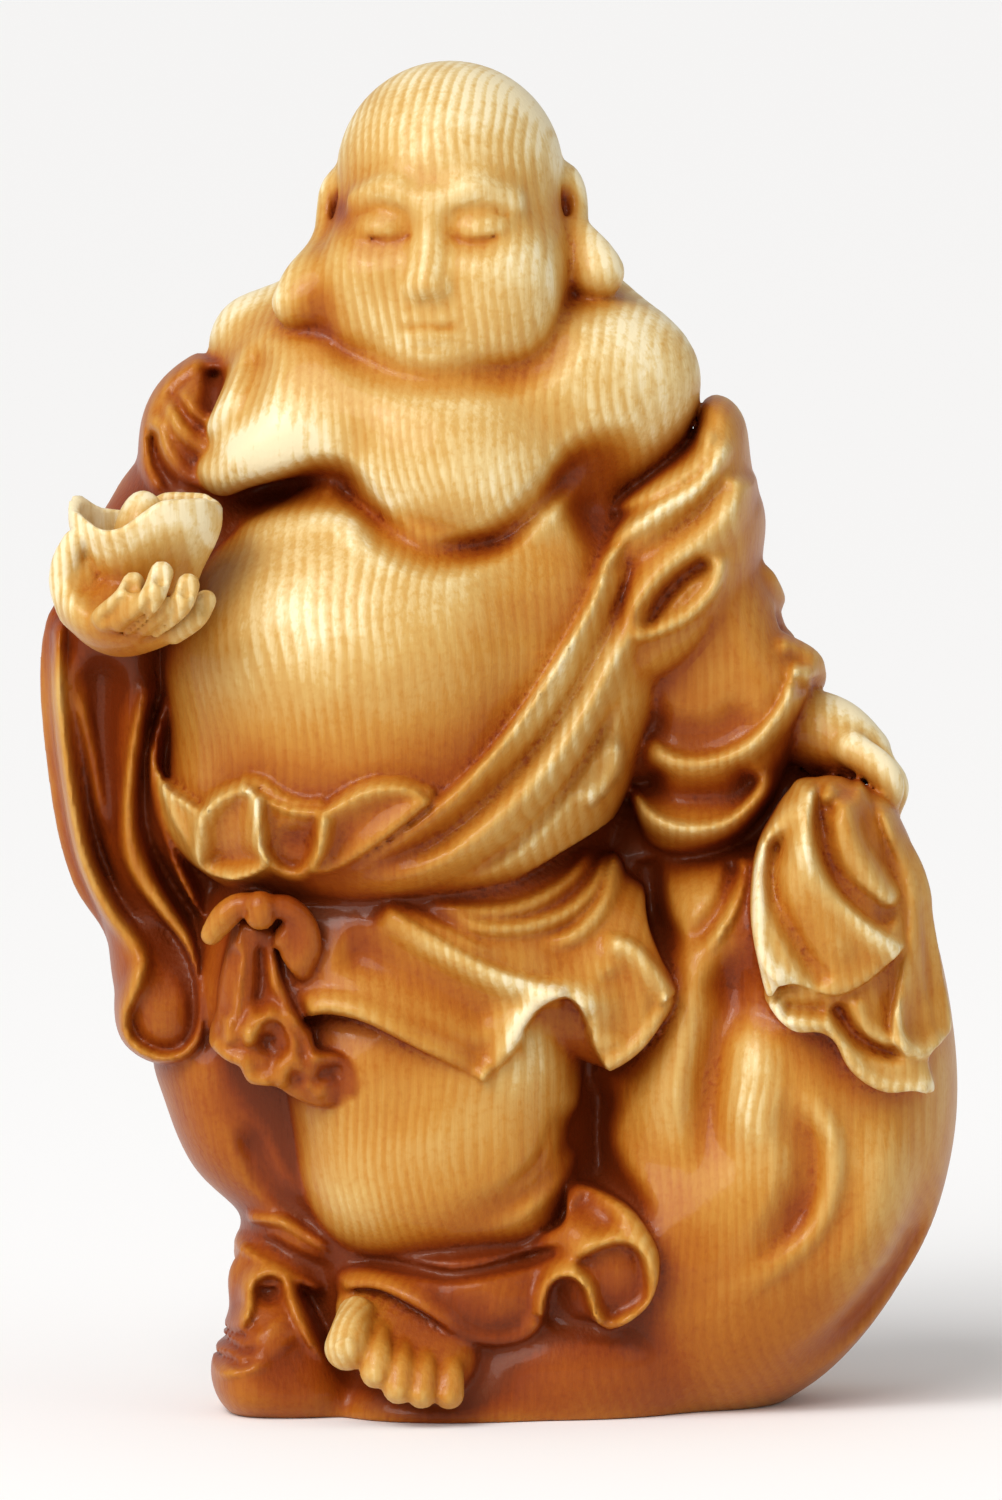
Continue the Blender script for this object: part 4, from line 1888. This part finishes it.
class Graph:
    """A material's node tree, with a short way to add nodes and link them."""

    def __init__(self, name: str) -> None:
        """Starts a material with its surface shader.

        Args:
            name: The material's name.
        """
        self.material = bpy.data.materials.new(name)
        self.material.use_nodes = True
        self.tree = self.material.node_tree
        self.shader = self.tree.nodes["Principled BSDF"]

    def add(self, kind: str, inputs: dict[str | int, object] | None = None,
            **settings: object) -> bpy.types.Node:
        """Adds a node.

        Args:
            kind: The node's type, without its leading ShaderNode.
            inputs: A socket to link or a value, for each input by name or number.
            **settings: Values for the node's own settings.

        Returns:
            The node.
        """
        node = self.tree.nodes.new("ShaderNode" + kind)
        for name, value in settings.items():
            setattr(node, name, value)
        for name, value in (inputs or {}).items():
            self.feed(node.inputs[name], value)
        return node

    def feed(self, socket: bpy.types.NodeSocket, value: object) -> None:
        """Links an output to a socket, or sets the socket to a value.

        Args:
            socket: The socket to feed.
            value: Another node's output, or a plain value.
        """
        if isinstance(value, bpy.types.NodeSocket):
            self.tree.links.new(value, socket)
        else:
            socket.default_value = value

    def math(self, operation: str, a: object, b: object = 0.0) -> bpy.types.NodeSocket:
        """Adds a sum of two values and gives its result."""
        return self.add("Math", {0: a, 1: b}, operation=operation).outputs[0]

    def added(self, *values: object) -> bpy.types.NodeSocket:
        """Adds up values from first to last.

        Args:
            *values: The values or sockets.

        Returns:
            Their sum.
        """
        total = values[0]
        for value in values[1:]:
            total = self.math("ADD", total, value)
        return total

    def times(self, a: object, b: object) -> bpy.types.NodeSocket:
        """Multiplies two values and gives the product."""
        return self.math("MULTIPLY", a, b)

    def span(self, value: object, low: float, high: float, to_low: float = 0.0,
             to_high: float = 1.0) -> bpy.types.NodeSocket:
        """Maps a stretch of values smoothly to another.

        Args:
            value: The value or socket to map.
            low: Where the stretch starts.
            high: Where it ends.
            to_low: The result at its start.
            to_high: The result at its end.

        Returns:
            The result.
        """
        inputs = {"Value": value, "From Min": low, "From Max": high, "To Min": to_low,
                  "To Max": to_high}
        node = self.add("MapRange", inputs, interpolation_type="SMOOTHSTEP")
        return node.outputs["Result"]

    def ramp(self, value: object, stops: tuple[tuple[float, int], ...]) -> bpy.types.NodeSocket:
        """Runs through colours.

        Args:
            value: The place on the ramp, from 0 to 1.
            stops: The colours, each after its place.

        Returns:
            The colour there.
        """
        node = self.add("ValToRGB", {0: value})
        made = node.color_ramp.elements
        for place, _ in stops[1:-1]:
            made.new(place)
        for element, (place, code) in zip(made, stops):
            element.position, element.color = place, colour(code)
        return node.outputs["Color"]

    def noise(self, place: object, scale: float, detail: float = 3.0) -> bpy.types.NodeSocket:
        """Adds soft noise.

        Args:
            place: The place on the object.
            scale: How many waves there are to a metre, about.
            detail: How many finer layers it has.

        Returns:
            The noise, from 0 to 1 round 0.5.
        """
        inputs = {"Vector": place, "Scale": scale, "Detail": detail, "Roughness": 0.55}
        return self.add("TexNoise", inputs).outputs["Fac"]

    def attribute(self, name: str) -> bpy.types.NodeSocket:
        """Reads one of the mesh's own values."""
        return self.add("Attribute", attribute_name=name).outputs["Fac"]


@dataclass(frozen=True)
class Noise:
    """A noise's scale and detail."""

    scale: float
    detail: float = 3.0

    def on(self, graph: Graph, place: bpy.types.NodeSocket) -> bpy.types.NodeSocket:
        """Adds the noise to a material and gives its result."""
        return graph.noise(place, self.scale, self.detail)


@dataclass(frozen=True)
class Settling:
    """How much stain a mesh attribute adds in hollows and takes off what stands out."""

    name: str
    inside: float
    outside: float

    def on(self, graph: Graph) -> bpy.types.NodeSocket:
        """Works out the change: the attribute less a half, times a factor.

        One factor counts above a half and the other below.

        Args:
            graph: The material's nodes.

        Returns:
            The change of the amount of stain.
        """
        value = graph.math("SUBTRACT", graph.attribute(self.name), 0.5)
        gained = graph.times(graph.math("MAXIMUM", value, 0.0), self.inside)
        lost = graph.times(graph.math("MINIMUM", value, 0.0), self.outside)
        return graph.added(gained, lost)


@dataclass(frozen=True)
class CarvedWood:
    """Pale wood with close growth rings, stained from orange to red-brown.

    The glaze lists the wood's colour at rising amounts of stain. A field of four
    numbers maps the first two to the last two, and lengths are in metres.
    """

    glaze: tuple[tuple[float, int], ...] = (
        (0.0, 0xE8D8B0), (0.07, 0xDABF86), (0.16, 0xC9A05A), (0.34, 0xBA8032),
        (0.52, 0xA96218), (0.7, 0x92440B), (0.86, 0x7E3107), (1.0, 0x672405),
    )
    most: float = 1.5
    least: float = 0.0
    heart: tuple[float, float] = (-0.260, 0.040)
    ring: float = 0.0022
    ring_lean: float = 0.05
    slow: Noise = Noise(9.0, 2.0)
    slow_bend: float = 0.022
    quick: Noise = Noise(34.0, 1.0)
    quick_bend: float = 0.006
    late_start: tuple[float, float] = (0.1, 0.7)
    late_end: tuple[float, float] = (1.0, 0.74)
    patch: Noise = Noise(24.0)
    patch_stain: tuple[float, ...] = (0.3, 0.7, -0.14, 0.2)
    cloud: Noise = Noise(60.0, 4.0)
    cloud_share: tuple[float, ...] = (0.35, 0.65, 0.35, 1.0)
    fibre: Noise = Noise(1600.0, 2.0)
    fibre_stretch: tuple[float, float, float] = (1.0, 1.0, 0.05)
    fibre_stain: tuple[float, ...] = (0.3, 0.8, -0.02, 0.05)
    fibre_relief: float = 0.15
    tools: Noise = Noise(700.0, 3.0)
    tools_stain: tuple[float, ...] = (0.45, 0.75, -0.12, 0.3)
    tools_kept: tuple[float, ...] = (0.0, 1.0, 0.18, 0.9)
    tools_relief: tuple[float, ...] = (0.0, 0.8, 0.25, 1.0)
    deep: Settling = Settling("hollow", 3.0, 1.3)
    fine: Settling = Settling("crease", 1.1, 1.2)
    crease: tuple[float, float] = (0.5, 0.8)
    ring_stain: tuple[float, ...] = (0.0, 1.2, 0.18, 0.05)
    roughness: float = 0.45
    crease_roughness: float = 0.62
    coat: float = 0.2
    coat_roughness: float = 0.11
    shine: float = 0.26
    shine_tint: tuple[float, float, float, float] = (1.0, 0.68, 0.4, 1.0)
    bump_strength: float = 0.7
    bump_height: float = 0.0006

    def rings(self, graph: Graph, place: bpy.types.NodeSocket) -> bpy.types.NodeSocket:
        """Works out the growth rings: sharp late wood at the end of each ring.

        A ring's number is its distance from the heart, bent by slow noise, over the
        ring's width, and the late wood is the last part of each.

        Args:
            graph: The material's nodes.
            place: The place on the object.

        Returns:
            How much late wood there is, from 0 to 1.
        """
        xyz = graph.add("SeparateXYZ", {0: place}).outputs
        across = graph.math("SUBTRACT", xyz[0], self.heart[0])
        behind = graph.math("SUBTRACT", xyz[1], self.heart[1])
        away = graph.math("SQRT", graph.added(graph.times(across, across), graph.times(behind, behind)))
        slow = graph.times(self.slow.on(graph, place), self.slow_bend)
        quick = graph.times(self.quick.on(graph, place), self.quick_bend)
        lean = graph.times(xyz[2], self.ring_lean)
        bent = graph.added(graph.added(away, slow), graph.added(quick, lean))
        share = graph.math("FRACT", graph.math("DIVIDE", bent, self.ring))
        return graph.times(graph.span(share, *self.late_start), graph.span(share, *self.late_end))

    def material(self) -> bpy.types.Material:
        """Makes the material.

        Returns:
            The material, whose stain follows the mesh's stain, hollow and crease.
        """
        graph = Graph("carved_wood")
        place = graph.add("TexCoord").outputs["Object"]
        patch, cloud = self.patch.on(graph, place), self.cloud.on(graph, place)
        rings = graph.times(self.rings(graph, place), graph.span(cloud, *self.cloud_share))
        drawn = graph.add("VectorMath", {0: place, 1: self.fibre_stretch}, operation="MULTIPLY")
        fibre, tools = self.fibre.on(graph, drawn.outputs[0]), self.tools.on(graph, place)
        settled = (self.deep.on(graph), self.fine.on(graph))
        amount = graph.math("MAXIMUM", graph.added(graph.attribute("stain"), *settled), self.least)
        amount = graph.added(amount, graph.span(patch, *self.patch_stain))
        ringed = graph.times(rings, graph.span(amount, *self.ring_stain))
        crease = graph.span(graph.attribute("crease"), *self.crease)
        kept = graph.span(crease, *self.tools_kept)
        specks = graph.times(graph.span(tools, *self.tools_stain), kept)
        amount = graph.added(amount, ringed, graph.span(fibre, *self.fibre_stain), specks)
        glazed = graph.ramp(graph.math("DIVIDE", amount, self.most), self.glaze)
        rough = graph.times(tools, graph.span(crease, *self.tools_relief))
        relief = graph.added(rough, graph.times(fibre, self.fibre_relief))
        bump = {"Height": relief, "Strength": self.bump_strength, "Distance": self.bump_height}
        for name, value in {
            "Base Color": glazed,
            "Roughness": graph.span(crease, 0.0, 1.0, self.roughness, self.crease_roughness),
            "Normal": graph.add("Bump", bump).outputs["Normal"],
            "Coat Weight": self.coat,
            "Coat Roughness": self.coat_roughness,
            "Specular IOR Level": self.shine,
            "Specular Tint": self.shine_tint,
        }.items():
            graph.feed(graph.shader.inputs[name], value)
        return graph.material


@dataclass(frozen=True)
class Floor:
    """The plain pale floor, wide enough to fill the view behind the figure."""

    half: float = 16.0
    shade: int = 0xFCFBFA
    roughness: float = 0.9

    def build(self) -> bpy.types.Object:
        """Builds the floor and marks it as the stage.

        Returns:
            The floor.
        """
        mesh = bpy.data.meshes.new("floor")
        signs = ((-1, -1), (1, -1), (1, 1), (-1, 1))
        mesh.from_pydata([(x * self.half, y * self.half, 0.0) for x, y in signs], [], [(0, 1, 2, 3)])
        graph = Graph("pale_floor")
        graph.shader.inputs["Base Color"].default_value = colour(self.shade)
        graph.shader.inputs["Roughness"].default_value = self.roughness
        mesh.materials.append(graph.material)
        floor = bpy.data.objects.new("floor", mesh)
        bpy.context.scene.collection.objects.link(floor)
        return floor


class Side(Enum):
    """Where a lamp stands round the figure: its direction from it."""

    LEFT = (-0.75, -1.0, 0.95)
    RIGHT = (1.1, -0.75, 0.55)

    def turn(self) -> Euler:
        """Gives the turn that points a lamp on this side at the figure."""
        return Vector(self.value).to_track_quat("Z", "Y").to_euler()


@dataclass(frozen=True)
class Studio:
    """Soft lamps, a pale surrounding and the camera at the photograph's angle.

    Each lamp is its side, its power in watts and the length of its edge in metres.
    """

    lamps: tuple[tuple[Side, float, float], ...] = ((Side.LEFT, 3.4, 0.34), (Side.RIGHT, 1.0, 0.7))
    lamps_aim: tuple[float, float, float] = (0.0, 0.0, 0.14)
    sun: float = 2.4
    sun_spread: float = 50.0
    room: float = 0.5
    lens: float = 500.0
    sensor: float = 36.0
    view_high: float = 300.0
    view_far: float = 100.0
    aim: Point = at(501.0, 750.0, 0.0)

    def lamp(self, side: Side, power: float, size: float) -> bpy.types.Object:
        """Sets a square lamp on one side, turned to the figure's middle.

        Args:
            side: Where it stands.
            power: Its power in watts.
            size: The length of its edge in metres.

        Returns:
            The lamp.
        """
        data = bpy.data.lights.new("lamp_" + side.name.lower(), "AREA")
        data.energy, data.size = power, size
        lamp = bpy.data.objects.new(data.name, data)
        bpy.context.scene.collection.objects.link(lamp)
        lamp.location = Vector(side.value) + Vector(self.lamps_aim)
        lamp.rotation_euler = side.turn()
        return lamp

    def daylight(self) -> bpy.types.Object:
        """Lights figure and floor evenly from the left, the front and above.

        Returns:
            The light.
        """
        data = bpy.data.lights.new("daylight", "SUN")
        data.energy, data.angle = self.sun, math.radians(self.sun_spread)
        sun = bpy.data.objects.new(data.name, data)
        bpy.context.scene.collection.objects.link(sun)
        sun.rotation_euler = Side.LEFT.turn()
        return sun

    def surrounding(self) -> None:
        """Fills the room with even pale light and shows its colours as they are."""
        world = bpy.data.worlds.new("studio")
        world.use_nodes = True
        background = world.node_tree.nodes["Background"]
        background.inputs["Color"].default_value = (1.0, 1.0, 1.0, 1.0)
        background.inputs["Strength"].default_value = self.room
        bpy.context.scene.world = world
        bpy.context.scene.view_settings.view_transform = "Standard"

    def camera(self) -> bpy.types.Object:
        """Sets the camera so that the view is as high as the photograph's.

        Its distance is the lens over the sensor, times the height of the view.

        Returns:
            The camera.
        """
        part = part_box("figure")[1].z / PARTS_HIGH
        data = bpy.data.cameras.new("camera")
        data.lens, data.sensor_width, data.clip_end = self.lens, self.sensor, self.view_far
        distance = self.lens / self.sensor * self.view_high * part
        camera = bpy.data.objects.new("camera", data)
        bpy.context.scene.collection.objects.link(camera)
        back = Vector((0.0, -math.cos(DRAWING_TILT), math.sin(DRAWING_TILT)))
        camera.location = Vector(self.aim) * part + back * distance
        camera.rotation_euler = (math.pi / 2 - DRAWING_TILT, 0.0, 0.0)
        bpy.context.scene.camera = camera
        return camera

    def build(self) -> None:
        """Sets up the lamps, the surrounding and the camera."""
        for side, power, size in self.lamps:
            self.lamp(side, power, size)
        self.daylight()
        self.surrounding()
        self.camera()


def main() -> None:
    """Builds the stage and the figure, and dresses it."""
    logging.basicConfig(level=logging.INFO, format="%(name)s: %(message)s")
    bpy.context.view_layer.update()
    Floor().build()
    Studio().build()
    LOG.info("stage, lamps and camera set")
    figure = Figure().build()
    figure.data.materials.append(CarvedWood().material())
    LOG.info("%s of %d faces dressed", figure.name, len(figure.data.polygons))


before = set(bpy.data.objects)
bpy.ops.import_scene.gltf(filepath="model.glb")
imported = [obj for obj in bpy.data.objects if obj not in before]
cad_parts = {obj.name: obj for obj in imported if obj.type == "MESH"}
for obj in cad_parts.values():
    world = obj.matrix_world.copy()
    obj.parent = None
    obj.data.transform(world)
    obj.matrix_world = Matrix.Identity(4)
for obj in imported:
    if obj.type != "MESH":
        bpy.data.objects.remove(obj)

if __name__ == "__main__":
    main()
